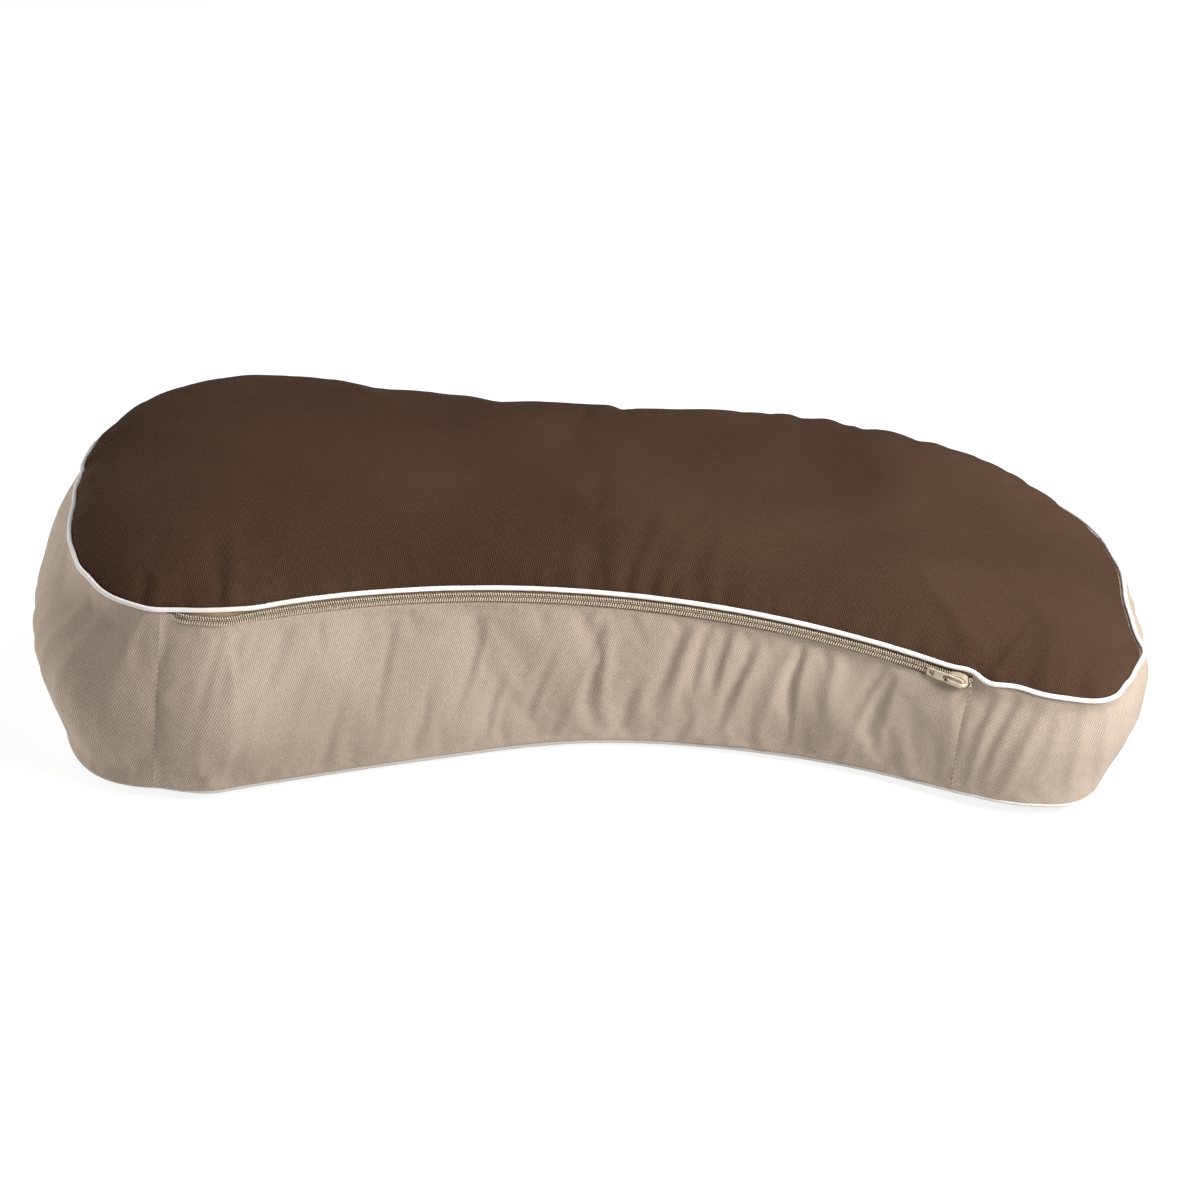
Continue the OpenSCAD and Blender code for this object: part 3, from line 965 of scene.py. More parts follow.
def top_strength(x, y):
    """Where the top panel is gathered most: the front middle, the corners and the right back."""
    front = np.exp(-(((x - 25) / 45) ** 2)) * (y < 0)
    left = np.exp(-((np.hypot(x + 245, y + 60) / 60) ** 2))
    right = np.exp(-((np.hypot(x - 225, y + 120) / 55) ** 2))
    return 0.45 + 0.6 * front + 0.8 * left + 0.8 * right


def top_relief(x, y, u, away):
    """Heights of the top panel's gathers, folds and edge roll, by distance from the seam."""
    front = np.exp(-(((x - 30) / 52) ** 2)) * (y < 0)
    back = ease((y + 20) / 60) * ease((x - 60) / 80)
    rise = gather_heights(u, away, TOP_GATHERS, rim.length) * top_strength(x, y)
    rise += gather_heights(u, away, TOP_PUCKERS, rim.length) * front
    rise += gather_heights(u, away, BACK_SCALLOPS, rim.length) * back
    single = []
    for (px, py), depth, reach, width, slant in TOP_FOLDS:
        at = rim.u[np.hypot(rim.x - px, rim.y - py).argmin()]
        single.append((at, depth, reach, width, slant))
    rise += gather_heights(u, away, single, rim.length)
    middle = ease(y / 60) * ease((x + 60) / 80) * ease((262 - x) / 40)
    left = ease((y - 10) / 50) * ease((-110 - x) / 60)
    roll = mix(EDGE_ROLL, EDGE_ROLL_BACK, middle + left)
    rise += roll * (1 - np.exp(-away / 4)) * np.exp(-((away / 50) ** 2))
    end = ease((x - 255) / 25) * ease((y + 105) / 30)
    return mix(rise, -RIGHT_END_DROP * (1 - np.exp(-away / 5)) * np.exp(-away / 25), end)


def top_panel():
    """Brown crown of the cover, gathered along its seam and pressed out by the filling."""
    rings = [np.stack(inset_ring(d, 0)[:2], -1) for d in TOP_RINGS]
    flat, faces = panel_mesh(rings, TOP_SPACING)
    rise = dropped(crown_tree(), flat)
    count = len(rings[0])
    along, away = rim_distance(flat, np.stack(inset_ring(0, 0)[:2], -1))
    rise[:count] = 0.35 + rim.lift
    points = place(flat[:, 0], flat[:, 1], rise)
    rows = []
    for depth, w in ((1.3, -0.7), (TURN_IN, -1.9)):
        x, y, up = inset_ring(depth, w)
        rows.append(place(x, y, up))
    full = len(points)
    points, faces = add_skirt(points, faces, range(count), rows)
    cloth = skirt_cloth(flat, points, count)
    made = make_object("top_panel_twill", points, faces, MATERIALS["top"], cloth)
    heights = np.zeros(len(points))
    heights[:full] = top_relief(flat[:, 0], flat[:, 1], along, away)
    heights[:full] += 0.6 * rolling(points[:full], 90, 3) * ease(away / 30)
    heights[:count] = 0
    displace(made, heights)
    held = np.zeros(len(points), bool)
    held[:count] = held[full:] = True
    relax(made, held, 2.5, 0.004, 16, 4.0)
    thicken(made)
    return finish_piece(made, "top_panel")


def bottom_panel():
    """Base of the cover: drawn in at its seam and flat where the cushion rests."""
    everywhere = np.arange(len(rim.u))
    x, _, _, ny, _ = rim.at(everywhere)
    tuck = FOOT_TUCK * sag(x, ny)
    rings = [wall(rim, everywhere, foot_w(x, ny), d + tuck)[:, :2] for d in BASE_RINGS]
    flat, faces = panel_mesh(rings, BASE_SPACING)
    height = dropped(foot_tree(), flat)
    count = len(rings[0])
    height[:count] = foot_z(x, ny) - 0.3
    ring = wall(rim, everywhere, foot_w(x, ny), 0)[:, :2]
    along, away = rim_distance(flat, ring)
    puckers = gathers(17, rim.length, 13, 0.9, 11, 3.2)
    drawn = gather_heights(along, away, puckers, rim.length)
    height -= np.where(np.arange(len(flat)) < count, 0, drawn)
    height = np.maximum(height, 0)
    points = np.concatenate([flat, height[:, None]], 1)
    rows = []
    for depth, up in ((1.9, 0.8), (TURN_IN + 0.8, 2.4)):
        inner = wall(rim, everywhere, foot_w(x, ny), depth + tuck)
        inner[:, 2] = foot_z(x, ny) + up
        rows.append(inner)
    faces = [tuple(reversed(face)) for face in faces]
    points, faces = add_skirt(points, faces, range(count), rows)
    skirt = len(faces) - 2 * count
    faces[skirt:] = [tuple(reversed(face)) for face in faces[skirt:]]
    cloth = skirt_cloth(flat, points, count)
    made = make_object("bottom_panel_twill", points, faces, MATERIALS["top"], cloth)
    thicken(made)
    return finish_piece(made, "bottom_panel")


def side_strength(x, y):
    """Where the side is gathered most: the hollowed front, and the corners a little."""
    return 0.5 + 0.9 * np.exp(-(((x - 70) / 110) ** 2)) * (y < 0)


def front_folds():
    """Long folds of the front strip, most of them in the hollow, leaning right at the top."""
    rng = random.Random(23)
    made = []
    arc = rim.u[rim.start["arc"]]
    at = arc - 10
    while at < arc + 405:
        near = math.exp(-(((at - arc - 245) / 110) ** 2))
        made.append((
            at,
            rng.uniform(26, 62),
            (0.4 + 1.3 * near) * rng.uniform(0.5, 1.1),
            rng.uniform(18, 38),
            rng.uniform(2.4, 4.4),
            rng.uniform(-0.04, 0.28),
        ))
        at += rng.uniform(10, 22) * (1.5 - 0.6 * near)
    return made


# Folds at the two front corners: distance from the joining seam, height, half-length,
# half-width and lean
CORNER_FOLD_V = 70.0
RIGHT_CORNER_FOLDS = [
    (9, 1.5, 34, 3.0, 0.12), (19, 1.1, 30, 2.6, 0.2), (31, 1.6, 32, 3.4, 0.22),
    (44, 0.9, 26, 2.8, 0.1), (58, 1.0, 28, 3.0, 0.0), (72, 1.2, 24, 3.2, -0.1),
    (88, 0.8, 24, 3.4, -0.2),
]
LEFT_END_FOLDS = [
    (22, 0.8, 40, 5.0, 0.2), (48, 1.2, 34, 4.2, 0.35), (66, 1.5, 30, 3.4, 0.4),
    (82, 1.1, 32, 3.0, 0.45), (98, 1.3, 34, 3.2, 0.4), (118, 0.9, 30, 3.4, 0.4),
]


def back_folds():
    """Folds of the strip round the ends and the back, sharpest at the two front corners."""
    rng = random.Random(31)
    start = rim.u[rim.start["back"]]
    end = rim.length + rim.u[rim.start["corner"]]
    made = []
    for at, height, half, width, lean in RIGHT_CORNER_FOLDS:
        made.append((start + at, 0.5 * CORNER_FOLD_V, height, half, width, lean))
    for at, height, half, width, lean in LEFT_END_FOLDS:
        made.append((end - at, CORNER_FOLD_V, height, half, width, lean))
    at = start + 110
    while at < end - 130:
        made.append((
            at, rng.uniform(30, 70), rng.uniform(0.2, 0.8), rng.uniform(18, 40),
            rng.uniform(5, 9), rng.uniform(-0.2, 0.35),
        ))
        at += rng.uniform(22, 46)
    return made


# How far the front strip covers the zip, by distance from the left joining seam
COVERED_AT = (0.0, 4.0, 12.0, 24.0, 38.0)
COVERED = (1.0, 0.8, 0.46, 0.26, 0.0)


def fold_line(away):
    """Rise of the front strip's folded top edge, away mm from the left joining seam."""
    return mix(FOLD_W, -EDGE, np.interp(away, COVERED_AT, COVERED))


def facing_out(grid):
    """Outward direction at each point of a grid of columns along a strip."""
    across = np.cross(np.gradient(grid, axis=0), np.gradient(grid, axis=1))
    return unit(across)


# Steps past the joining seam and into the cushion: the front strip runs under the back one
UNDER_LAP = ((0.1, 0.25), (0.5, 0.7), (1.1, TURN_IN))
OVER_LAP = ((0.35, -0.2), (0.5, 0.5), (0.5, TURN_IN))


def end_columns(grid, indices, which, sign, steps):
    """Columns that turn a strip's end in at the joining seam."""
    _, _, nx, ny, _ = rim.at(indices[[which]])
    inward = np.array([-nx[0], -ny[0], 0])
    onward = sign * np.array([-ny[0] * math.cos(SLOPE), nx[0], ny[0] * math.sin(SLOPE)])
    return np.stack([grid[which] + past * onward + deep * inward for past, deep in steps])


def side_strip(name, indices, tops, folds, seed, node_name, lap, calm=7.0, surplus=0.008):
    """A strip of the side wall between the seams, with its edges turned in all round."""
    x, _, nx, ny, u = rim.at(indices)
    hang = sag(x, ny)
    low = foot_w(x, ny) + mix(EDGE, 0.1, hang)
    shares = np.linspace(0, 1, 32)
    columns = [wall(rim, indices, mix(low, tops, t), EDGE_SINK) for t in shares]
    heights = [mix(low, tops, t) - low for t in shares]
    turned = [(1.3, 0.25), (TURN_IN, 0.1)]
    below = [wall(rim, indices, low - dw, d) for d, dw in reversed(turned)]
    above = [wall(rim, indices, tops + dw, d) for d, dw in turned]
    grid = np.stack(below + columns + above, 1)
    up = np.maximum(0, grid[..., 2] - grid[:, 2:3, 2])
    outward = np.stack([nx, ny, 0 * nx], -1)[:, None, :]
    hang = HANG * hang * (1 - ease((x - HANG_TO_X) / END_TUCK_LENGTH))
    grid = grid + outward * (hang[:, None] * np.exp(-((up / HANG_HEIGHT) ** 2)))[..., None]
    v = np.stack([heights[0]] * 2 + heights + [heights[-1]] * 2, 1)
    total = np.repeat(heights[-1], v.shape[1])
    along = np.repeat(u, v.shape[1])
    rise = side_relief(grid.reshape(-1, 3), along, v.ravel(), total, folds, seed, calm)
    rise = rise.reshape(v.shape)
    rise[:, :3] = 0
    rise[:, -3:] = 0
    grid = grid + facing_out(grid) * rise[..., None]
    first = end_columns(grid, indices, 0, -1, lap)
    last = end_columns(grid, indices, -1, 1, lap)
    grid = np.concatenate([first[::-1], grid, last])
    extra = len(first)
    beyond = np.cumsum(np.hypot(*np.diff(np.array([(0, 0), *lap]), axis=0).T))
    v = np.concatenate([v[:1]] * extra + [v] + [v[-1:]] * extra)
    u = np.concatenate([u[0] - beyond[::-1], u, u[-1] + beyond])
    columns_n, rows_n = v.shape
    made = make_object(
        name, grid.reshape(-1, 3), grid_faces(columns_n, rows_n), MATERIALS["side"],
        np.stack([np.repeat(u, rows_n), v.ravel()], 1),
    )
    held = np.zeros(v.shape, bool)
    held[:, :3] = True
    held[:, -3:] = True
    held[: extra + 1] = True
    held[-extra - 1 :] = True
    relax(made, held.ravel(), 2.0, surplus, 16, 4.0)
    thicken(made)
    return finish_piece(made, node_name)


def side_relief(points, u, v, total, folds, seed, calm):
    """Gathers, long folds and unevenness of a strip, none of them at its seams."""
    strength = side_strength(points[:, 0], points[:, 1])
    lower = gathers(seed, rim.length, 12, 0.9, 16, 3.0)
    upper = gathers(seed + 1, rim.length, 11, 0.8, 13, 2.6)
    rise = gather_heights(u, v, lower, rim.length) * strength
    rise += gather_heights(u, total - v, upper, rim.length) * strength
    rise += long_folds(u, v, folds)
    rise += 0.5 * rolling(points, 70, seed)
    seam = np.minimum(v, total - v)
    end = np.minimum(u - u.min(), u.max() - u)
    rise *= ease(v / 6) * ease((total - v) / calm) * ease(end / 10)
    high = ease((v / total - 0.45) / 0.4)
    return rise - mix(0.0, 0.5, high) * np.exp(-((end / 3.0) ** 2)) * ease(seam / 6)


def gusset_front():
    indices = rim.span("corner", "back")[:-1]
    tops = fold_line(rim.at(indices)[-1] - rim.u[rim.start["corner"]])
    return side_strip(
        "gusset_front_twill", indices, tops, front_folds(), 41, "gusset_front", UNDER_LAP, 9.0,
        0.018,
    )


def gusset_back():
    indices = rim.span("back", "corner")
    indices = np.concatenate([indices[:1] - 1, indices])
    tops = np.full(len(indices), -EDGE)
    return side_strip("gusset_back_twill", indices, tops, back_folds(), 47, "gusset_back",
                      OVER_LAP)


# ---- Piping -------------------------------------------------------------------------------
PIPING_STEP = 2.0
PIPING_SIDES = 14
CORD_SIDES = 8
LUMPS = 0.02
LUMP_WAVES = range(40, 200, 16)


def seam_path(fine, at_top):
    """Centre line of a seam's piping, and the outward and upward directions at each point."""
    everywhere = np.arange(len(fine.u))
    x, y, nx, ny, u = fine.at(everywhere)
    if at_top:
        centre = place(*fine.sewn(everywhere, -RIGHT_END_PIPING * right_end(x, y)))
    else:
        under = mix(HOLLOW_TUCK, FOOT_TUCK, sag(x, ny))
        out = foot_push(x, ny) - foot_tuck(x, ny) - under
        centre = place(x + out * nx, y + out * ny, foot_w(x, ny))
    return centre, np.stack([nx, ny, 0 * nx], -1), u


def tube_faces(count, sides, closed=False):
    """Quads between rings of points, joined end to end or with a face over both ends."""
    faces = []
    for i in range(count if closed else count - 1):
        j = (i + 1) % count
        for k in range(sides):
            m = (k + 1) % sides
            faces.append((i * sides + k, i * sides + m, j * sides + m, j * sides + k))
    if not closed:
        faces.append(tuple(range(sides)))
        faces.append(tuple((count - 1) * sides + k for k in reversed(range(sides))))
    return faces


def tube(name, centre, outward, along, radius, sides, material, lumps=0.0, seed=0):
    """Closed tube round a loop of points."""
    ahead = unit(np.roll(centre, -1, 0) - np.roll(centre, 1, 0))
    side = unit(outward - (outward * ahead).sum(1)[:, None] * ahead)
    up = np.cross(ahead, side)
    rng = random.Random(seed)
    wobble = np.zeros(len(along))
    for k in LUMP_WAVES:
        wobble += np.sin(math.tau * k * along / rim.length + rng.uniform(0, math.tau))
    thick = radius * (1 + lumps * wobble / 3)
    points, flat = [], []
    for k in range(sides):
        a = math.tau * k / sides
        points.append(centre + (math.cos(a) * side + math.sin(a) * up) * thick[:, None])
        flat.append(np.stack([along, np.full(len(along), a * radius)], -1))
    points = np.stack(points, 1).reshape(-1, 3)
    flat = np.stack(flat, 1).reshape(-1, 2)
    return make_object(name, points, tube_faces(len(along), sides, True), material, flat)


def piping():
    """Bias strip and cord in the top and bottom seams."""
    fine = Rim(PIPING_STEP)
    for seam, at_top in (("top", True), ("bottom", False)):
        path = seam_path(fine, at_top)
        cover = tube(seam + "_piping_bias", *path, PIPING_R, PIPING_SIDES, MATERIALS["piping"],
                     LUMPS, 3)
        finish_piece(cover, seam + "_piping_cover")
        cord = tube(seam + "_piping_core", *path, CORD_R, CORD_SIDES, MATERIALS["filling"])
        finish_piece(cord, seam + "_piping_cord")


# ---- Inside: case and filling --------------------------------------------------------------
CASE_STEP = 9.0
CASE_DEPTH = 7.5
CASE_DROP = 6.5
CASE_LIFT = 2.4
CASE_T = 0.6
FILLING_GAP = 1.2
BASE_SHARES = (0.96, 0.8, 0.6, 0.4, 0.3, 0.2, 0.12, 0.05, 0)
CROWN_SHARES = (0, 0.06, 0.13, 0.22, 0.32, 0.43, 0.55, 0.7, 0.85, 0.96)
SIDE_RINGS = 13


def closed_form(name, depth, drop, lift, material, part):
    """The case's or filling's surface: its base, side and crown, or one of them."""
    inner = Rim(CASE_STEP)
    everywhere = np.arange(len(inner.u))
    x, y, nx, ny, u = inner.at(everywhere)
    sx, sy = spine(x)
    low = wall(inner, everywhere, foot_w(x, ny), depth)
    base = []
    for s in BASE_SHARES:
        px, py = mix(low[:, 0], sx, s), mix(low[:, 1], sy, s)
        base.append(np.stack([px, py, base_rise(x, ny, s) + lift], -1))
    bottom = foot_w(x, ny) + lift
    sides = [wall(inner, everywhere, mix(bottom, -drop, t), depth)
             for t in np.linspace(0.0, 1.0, SIDE_RINGS)]
    crown = []
    for s in CROWN_SHARES:
        px, py = mix(x - depth * nx, sx, s), mix(y - depth * ny, sy, s)
        crown.append(place(px, py, (CROWN_H - CROWN_TILT * px) * crown_shape(s) - drop))
    parts = {"base": base, "side": sides, "crown": crown}
    rings = parts[part] if part else base + sides[1:-1] + crown
    grid = np.stack(rings, 1)
    faces = grid_faces(len(everywhere), len(rings), closed=True)
    flat = np.stack([np.repeat(u, len(rings)), np.tile(np.arange(len(rings)) * 8.0, len(u))], -1)
    made = make_object(name, grid.reshape(-1, 3), faces, material, flat)
    close_middle(made, part)
    puff = 0.5 * rolling(coordinates(made.data) / MM, 45, 9)
    displace(made, puff)
    return made


def close_middle(made, part):
    """Fills the narrow slit left along the spine."""
    mesh = bmesh.new()
    mesh.from_mesh(made.data)
    mesh.edges.ensure_lookup_table()
    loops = [e for e in mesh.edges if e.is_boundary]
    if part == "crown":
        loops = [e for e in loops if e.verts[0].co.z > 0 and is_inner(e)]
    if part == "base":
        loops = [e for e in loops if is_inner(e)]
    if part != "side":
        bmesh.ops.holes_fill(mesh, edges=loops, sides=0)
        bmesh.ops.triangulate(mesh, faces=[f for f in mesh.faces if len(f.verts) > 4])
    mesh.to_mesh(made.data)
    mesh.free()
    for polygon in made.data.polygons:
        polygon.use_smooth = True


def is_inner(edge):
    """True for an edge of the slit along the spine."""
    middle = (edge.verts[0].co + edge.verts[1].co) / 2 / MM
    _, sy = spine(middle.x / SPINE_SHARE)
    return abs(middle.y - sy) < 30 and abs(middle.x) < 200


def inside():
    """The inner case's three parts, and the filling."""
    parts = {"inner_case_top": "crown", "inner_case_bottom": "base", "inner_case_gusset": "side"}
    for node_name, part in parts.items():
        made = closed_form(
            node_name + "_cotton", CASE_DEPTH, CASE_DROP, CASE_LIFT, MATERIALS["case"], part
        )
        thicken(made, 1, CASE_T)
        finish_piece(made, node_name)
    gap = CASE_T + FILLING_GAP
    core = closed_form(
        "filling_fibre_core", CASE_DEPTH + gap, CASE_DROP + gap, CASE_LIFT + gap,
        MATERIALS["filling"], None,
    )
    thicken(core, 1, 0)
    finish_piece(core, "filling_core")
    return core


# ---- Zip ----------------------------------------------------------------------------------
def on_chain(angle, x, y, z):
    """World position of local points: x along the chain, y into the cushion, z up the wall."""
    a = math.radians(angle)
    radius = ARC_R + np.asarray(y, float)
    px = ARC_X + radius * math.sin(a) + np.asarray(x) * math.cos(a)
    py = ARC_Y + radius * math.cos(a) - np.asarray(x) * math.sin(a)
    return place(px, py, CHAIN_W0 + np.asarray(z, float))


ARC_TRIM = 0.6
COIL_PITCH = 1.27
COIL_SIDES = 6
COIL_POINTS = 12
WIRE_R = 0.38
# Middle of a coil row from the chain's middle, and half its width and depth
COIL_W, COIL_HALF_W, COIL_HALF_D = 1.4, 1.05, 1.0
COIL_DEPTH = 1.15
TAPE_T = 0.6
SHARP_ANGLE = math.radians(40)


def clean_path():
    """The zip's own curve, without the seam's unevenness: plan point and outward normal by u."""
    corner_points = dict(STRETCHES)["corner"]
    arc_points = dict(STRETCHES)["arc"][1:]
    dense = np.concatenate([corner_points, arc_points])
    ahead = unit(np.gradient(dense, axis=0))
    length = np.concatenate([[0], np.cumsum(np.linalg.norm(np.diff(dense, axis=0), axis=1))])
    return dense, np.stack([ahead[:, 1], -ahead[:, 0]], -1), length


PATH, PATH_OUT, PATH_U = clean_path()
CHAIN_FROM = 3.0
CHAIN_TO = PATH_U[-1] - ARC_TRIM
ARC_FROM = PATH_U[len(dict(STRETCHES)["corner"]) - 1]
# How deep the chain dives under the front strip at its left end, and how it nears the piping
DIVE = 2.4
NEAR_PIPING = 1.3


def along_chain(u, depth, w):
    """World positions at length u along the zip, depth mm into the cushion, w above its middle.

    Past the curve's left end the chain dives under the front strip.
    """
    x, y = (np.interp(u, PATH_U, PATH[:, k]) for k in (0, 1))
    nx, ny = (np.interp(u, PATH_U, PATH_OUT[:, k]) for k in (0, 1))
    depth = depth + DIVE * ease((CHAIN_FROM + 13 - u) / 12)
    w = w + NEAR_PIPING * ease((ARC_FROM + 4 - u) / 24)
    return place(x - depth * nx, y - depth * ny, CHAIN_W0 + w)


def coil_row(side):
    """One row of coils: a nylon wire wound in flattened turns that lock with the other row."""
    turns = int((CHAIN_TO - CHAIN_FROM - 4) / COIL_PITCH)
    steps = np.arange(turns * COIL_POINTS + 1)
    angle = steps * math.tau / COIL_POINTS
    u = CHAIN_FROM + 2 + (steps / COIL_POINTS + (0.5 if side < 0 else 0)) * COIL_PITCH
    flat = bent(np.cos(angle), 0.8)
    w = side * (COIL_W - COIL_HALF_W * flat)
    depth = COIL_OUT + COIL_DEPTH + COIL_HALF_D * np.sin(angle) + 0.3 * np.maximum(0, flat)
    centre = along_chain(u, depth, w)
    ahead = unit(np.gradient(centre, axis=0))
    across = unit(np.cross(ahead, [0.0, 0.3, 1.0]))
    up = np.cross(ahead, across)
    points = []
    for k in range(COIL_SIDES):
        a = math.tau * k / COIL_SIDES
        points.append(centre + WIRE_R * (math.cos(a) * across + math.sin(a) * up))
    grid = np.stack(points, 1).reshape(-1, 3)
    faces = tube_faces(len(steps), COIL_SIDES)
    name = "upper" if side > 0 else "lower"
    # How deep each point of the wire lies; the coil's material paints shade from it.
    sunk = np.repeat((1 + np.sin(angle)) / 2, COIL_SIDES)
    flat = np.stack([np.repeat(u, COIL_SIDES), sunk / MM], -1)
    made = make_object(f"zip_coil_{name}_wire", grid, faces, MATERIALS["coil"], flat)
    return finish_piece(made, f"zip_coil_{name}")


def tape(name, low, high):
    """Woven zip tape, with a slightly raised cord edge next to the coils."""
    u = np.arange(CHAIN_FROM - 6, CHAIN_TO + 1.5, 2.0)
    rows = np.linspace(low, high, 9)
    front = np.stack([
        along_chain(u, TAPE_OUT + 0.05 * np.cos(u) + 1.4 * ease((-3 - w) / 5), w) for w in rows
    ], 1)
    flat = np.stack(np.meshgrid(u, rows, indexing="ij"), -1).reshape(-1, 2)
    faces = grid_faces(len(u), len(rows))
    made = make_object(f"zip_tape_{name}_woven", front.reshape(-1, 3), faces,
                       MATERIALS["tape"], flat)
    thicken(made, 0, TAPE_T)
    return finish_piece(made, f"zip_tape_{name}")


def outline_solid(outline, holes, thickness, bevel):
    """Points and faces of a flat plate in local x, z with bevelled edges, thickness along y."""
    curve = bpy.data.curves.new("plate", "CURVE")
    curve.dimensions = "2D"
    curve.fill_mode = "BOTH"
    curve.extrude = (thickness / 2 - bevel) * MM
    curve.bevel_depth = bevel * MM
    curve.bevel_resolution = 2
    curve.offset = -bevel * MM
    for loop in [outline] + holes:
        spline = curve.splines.new("POLY")
        spline.points.add(len(loop) - 1)
        for point, (x, z) in zip(spline.points, loop):
            point.co = (x * MM, z * MM, 0, 1)
        spline.use_cyclic_u = True
    holder = bpy.data.objects.new("plate", curve)
    bpy.context.scene.collection.objects.link(holder)
    mesh = bpy.data.meshes.new_from_object(
        holder.evaluated_get(bpy.context.evaluated_depsgraph_get())
    )
    points = coordinates(mesh) / MM
    faces = [tuple(p.vertices) for p in mesh.polygons]
    bpy.data.objects.remove(holder)
    bpy.data.meshes.remove(mesh)
    return points, faces


def rounded(points, radius, steps=5):
    """Closed outline with its corners rounded."""
    made = []
    count = len(points)
    for k in range(count):
        before, here, after = (np.array(points[(k + d) % count], float) for d in (-1, 0, 1))
        a, b = before - here, after - here
        reach = min(radius, np.linalg.norm(a) / 2.05, np.linalg.norm(b) / 2.05)
        start = here + a / np.linalg.norm(a) * reach
        end = here + b / np.linalg.norm(b) * reach
        for t in np.linspace(0, 1, steps + 1):
            made.append(tuple((1 - t) ** 2 * start + 2 * t * (1 - t) * here + t * t * end))
    return made


def merge(parts):
    """Points and faces of several parts as one."""
    points, faces, first = [], [], 0
    for part_points, part_faces in parts:
        points.append(part_points)
        faces += [tuple(first + i for i in face) for face in part_faces]
        first += len(part_points)
    return np.concatenate(points), faces


def swept(path, widths, thickness, ring=12):
    """Strap with rounded edges swept along a path in local x, y."""
    path = np.array(path, float)
    ahead = unit(np.gradient(path, axis=0))
    out = np.stack([ahead[:, 1], -ahead[:, 0]], -1)
    points = []
    for k in range(ring):
        a = math.tau * (k + 0.5) / ring
        across = bent(math.cos(a), 0.5) * np.array(widths) / 2
        deep = bent(math.sin(a), 0.7) * thickness / 2
        points.append(np.stack([
            path[:, 0] + out[:, 0] * deep, path[:, 1] + out[:, 1] * deep, across
        ], -1))
    grid = np.stack(points, 1).reshape(-1, 3)
    faces = []
    for i in range(len(path) - 1):
        for k in range(ring):
            m = (k + 1) % ring
            faces.append((i * ring + k, (i + 1) * ring + k, (i + 1) * ring + m, i * ring + m))
    faces.append(tuple(reversed(range(ring))))
    faces.append(tuple((len(path) - 1) * ring + k for k in range(ring)))
    return grid, faces


def plate(outline, holes, y_middle, thickness, bevel):
    """A plate whose flat side faces out of the cushion, in local coordinates."""
    points, faces = outline_solid(outline, holes, thickness, bevel)
    local = np.stack([points[:, 0], y_middle + points[:, 2], points[:, 1]], -1)
    return local, [tuple(reversed(face)) for face in faces]


def cast_metal(name, points, faces, node_name, body="cushion"):
    """Enamelled piece, with its doubled points joined and its corners kept sharp."""
    made = make_object(name, points, faces, MATERIALS["metal"])
    mesh = bmesh.new()
    mesh.from_mesh(made.data)
    bmesh.ops.remove_doubles(mesh, verts=mesh.verts, dist=1e-6)
    bmesh.ops.recalc_face_normals(mesh, faces=mesh.faces)
    mesh.to_mesh(made.data)
    mesh.free()
    made.data.set_sharp_from_angle(angle=SHARP_ANGLE)
    return finish_piece(made, node_name, body)


def chain_object(name, parts, node_name, body):
    """Piece of the slider from parts in its own place on the chain."""
    points, faces = merge(parts)
    return cast_metal(name, on_chain(SLIDER_AT, *points.T), faces, node_name, body)


def slider():
    """Slider with a shouldered front, two guide flanges, a back plate and an arched bridge."""
    shape = [
        (5.5, -1.9), (5.5, 1.9), (3.4, 3.2), (-0.5, 3.2), (-3.6, 2.8), (-5.5, 2.4),
        (-5.5, -2.4), (-3.6, -2.8), (-0.5, -3.2), (3.4, -3.2),
    ]
    back_shape = [(x * 0.97, z * 0.86) for x, z in shape]
    front = plate(rounded(shape, 1.4), [], -1.95, 1.3, 0.25)
    back = plate(rounded(back_shape, 1.2), [], 3.0, 0.9, 0.2)
    flanges = []
    for sign in (-1, 1):
        rail = [(4.6, sign * 3.0), (2.6, sign * 3.75), (-1.0, sign * 3.75), (-5.0, sign * 3.0),
                (-5.0, sign * 2.4), (-1.0, sign * 3.0), (2.6, sign * 3.0)]
        flanges.append(plate(rounded(rail, 0.3, 2), [], -0.3, 2.8, 0.1))
    web = plate(rounded([(2.6, -0.5), (2.6, 0.5), (-1.6, 0.3), (-1.6, -0.3)], 0.2, 2),
                [], 0.6, 4.4, 0.05)
    turns = [(bent(math.cos(t), 0.62), math.sin(t)) for t in np.linspace(0, math.pi, 25)]
    arch = [(5.0 * c, -2.3 - 3.1 * s**0.55) for c, s in turns]
    bridge = swept(arch, [1.6 + 0.5 * s for _, s in turns], 0.95)
    return chain_object("zip_slider_cast", [front, back, web, bridge] + flanges,
                        "zip_slider_body", "slider")


def pull():
    """Pull with an oval window that takes the bridge and a small square hole at its free end."""
    bar_x, bar_y, length, width = 3.2, -3.95, 20.5, 5.5
    half = width / 2
    outline = rounded([
        (bar_x + 0.9, -half + 0.5), (bar_x + 0.9, half - 0.5), (bar_x - 1.5, half),
        (bar_x - 12.5, half - 0.15), (bar_x - length, half - 0.35),
        (bar_x - length, -half + 0.35), (bar_x - 12.5, -half + 0.15), (bar_x - 1.5, -half),
    ], 1.2)
    window = []
    for t in np.linspace(0, math.tau, 28, endpoint=False):
        x = bar_x - 5.9 + 5.4 * bent(math.cos(t), 0.75)
        window.append((x, 1.85 * bent(math.sin(t), 0.8)))
    square = rounded([
        (bar_x - length + 1.1, -1.5), (bar_x - length + 1.1, 1.5),
        (bar_x - length + 4.2, 1.5), (bar_x - length + 4.2, -1.5),
    ], 0.25, 2)
    points, faces = plate(outline, [window, square], bar_y, 1.1, 0.22)
    lean = math.radians(4.5)
    x, y = points[:, 0] - bar_x, points[:, 1] - bar_y
    points[:, 0] = bar_x + x * math.cos(lean) + y * math.sin(lean)
    points[:, 1] = bar_y - x * math.sin(lean) + y * math.cos(lean)
    return chain_object("zip_pull_leaf", [(points, faces)], "zip_pull", "pull")


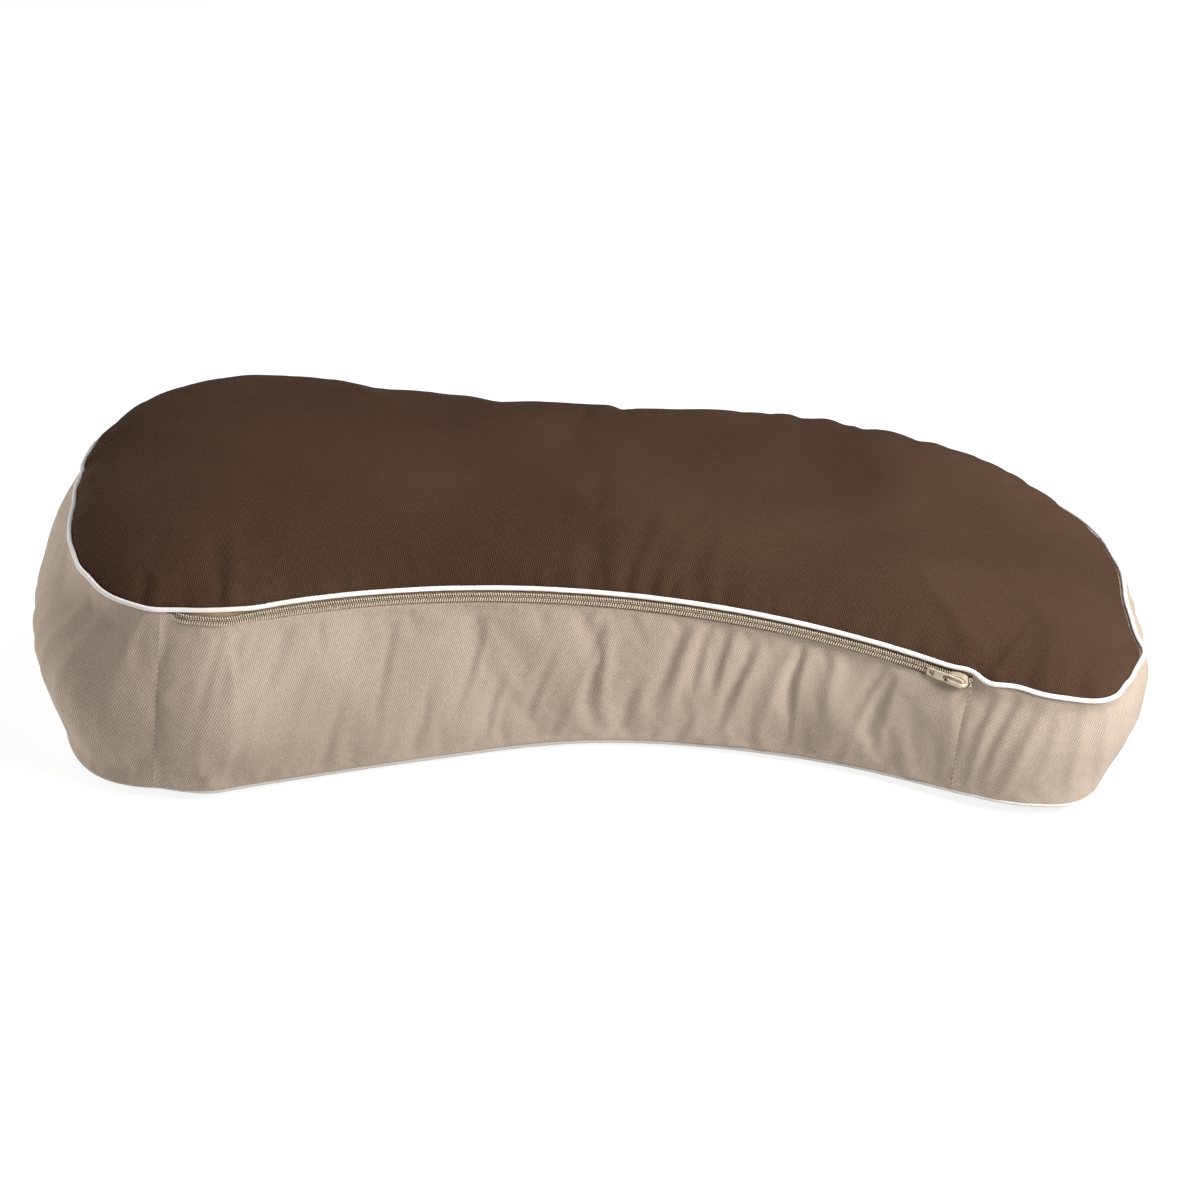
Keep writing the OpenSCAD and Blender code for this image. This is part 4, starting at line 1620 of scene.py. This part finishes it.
def stop_clamp(name, node_name, at, *spans):
    """Small bent-metal clamps on the coils, with rounded corners."""
    parts = []
    for low, high in spans:
        corners = [(at - 0.7, low), (at + 0.7, low), (at + 0.7, high), (at - 0.7, high)]
        points, faces = outline_solid(rounded(corners, 0.4, 3), [], 1.1, 0.2)
        parts.append((along_chain(points[:, 0], 1.05 + points[:, 2], points[:, 1]), faces))
    return cast_metal(name, *merge(parts), node_name)


def zip_fastener():
    """Coils, tapes, stops, slider and pull."""
    coil_row(1)
    coil_row(-1)
    tape("upper", 0.4, 5.6)
    tape("lower", -10.5, -0.4)
    stop_clamp("zip_top_stop_clamps", "zip_top_stops", CHAIN_TO - 2.7, (0.5, 2.9), (-2.9, -0.5))
    stop_clamp("zip_bottom_stop_clamp", "zip_bottom_stop", CHAIN_FROM - 0.2, (-2.9, 2.9))
    slider()
    pull()


def label():
    """Blank woven label, sewn into the back seam inside the cover."""
    back = rim.span("back", "corner")
    x, y, _, _, _ = rim.at(back)
    keep = back[(x > -72) & (x < -10) & (y > 50)]
    u = rim.at(keep)[-1]
    rows = np.linspace(-15.5, -3.0, 8)
    grid = np.stack([wall(rim, keep, np.full(len(keep), w), 2.6) for w in rows], 1)
    flat = np.stack([np.repeat(u, len(rows)), np.tile(rows, len(u))], -1)
    made = make_object("care_label_blank", grid.reshape(-1, 3), grid_faces(len(keep), len(rows)),
                       MATERIALS["label"], flat)
    thicken(made, 1, 0.35)
    return finish_piece(made, "care_label")


# ---- Studio -------------------------------------------------------------------------------
def soft_box(name, location, target, size, power):
    """Round area light aimed at the target."""
    light = bpy.data.lights.new(name, "AREA")
    light.shape = "DISK"
    light.size = size
    light.energy = power
    made = bpy.data.objects.new(name, light)
    made.location = location
    direction = Vector(target) - Vector(location)
    made.rotation_euler = direction.to_track_quat("-Z", "Y").to_euler()
    bpy.context.scene.collection.objects.link(made)
    return made


def studio():
    """Plain pale floor, soft lights and a faint even sky."""
    mesh = bpy.data.meshes.new("studio_floor")
    half = 6.0
    drop = -0.0002
    mesh.from_pydata([(-half, -half, drop), (half, -half, drop), (half, half, drop),
                      (-half, half, drop)], [], [(0, 1, 2, 3)])
    mesh.materials.append(studio_floor())
    floor = bpy.data.objects.new("studio_floor", mesh)
    bpy.context.scene.collection.objects.link(floor)
    world = bpy.data.worlds.new("studio")
    bpy.context.scene.world = world
    world.use_nodes = True
    world.node_tree.nodes["Background"].inputs["Color"].default_value = (1, 1, 1, 1)
    world.node_tree.nodes["Background"].inputs["Strength"].default_value = 0.07
    middle = (0, 0, 0.08)
    soft_box("key_front_right", (0.72, -0.5, 0.72), middle, 0.5, 16.5)
    soft_box("key_above", (0.45, 0.4, 1.0), middle, 0.6, 8)
    soft_box("fill_left", (-1.1, 0.15, 0.25), middle, 0.5, 6)
    bpy.context.scene.view_settings.view_transform = "Standard"


def camera():
    """The photograph's viewpoint: in front, 33 degrees above, a little to the right."""
    target = Vector((0.002, -0.008, 0.060))
    azimuth, elevation, distance = math.radians(1.7), math.radians(33), 2.0
    back = Vector((
        math.sin(azimuth) * math.cos(elevation),
        -math.cos(azimuth) * math.cos(elevation),
        math.sin(elevation),
    ))
    data = bpy.data.cameras.new("camera")
    data.sensor_width = 36
    data.lens = 110.16
    made = bpy.data.objects.new("camera", data)
    made.location = target + back * distance
    made.rotation_mode = "QUATERNION"
    made.rotation_quaternion = (-back).to_track_quat("-Z", "Y")
    bpy.context.scene.collection.objects.link(made)
    bpy.context.scene.camera = made


# ---- The cushion --------------------------------------------------------------------------
cover = [top_panel(), bottom_panel(), gusset_front(), gusset_back()]
piping()
filling = inside()
zip_fastener()
label()
studio()
camera()
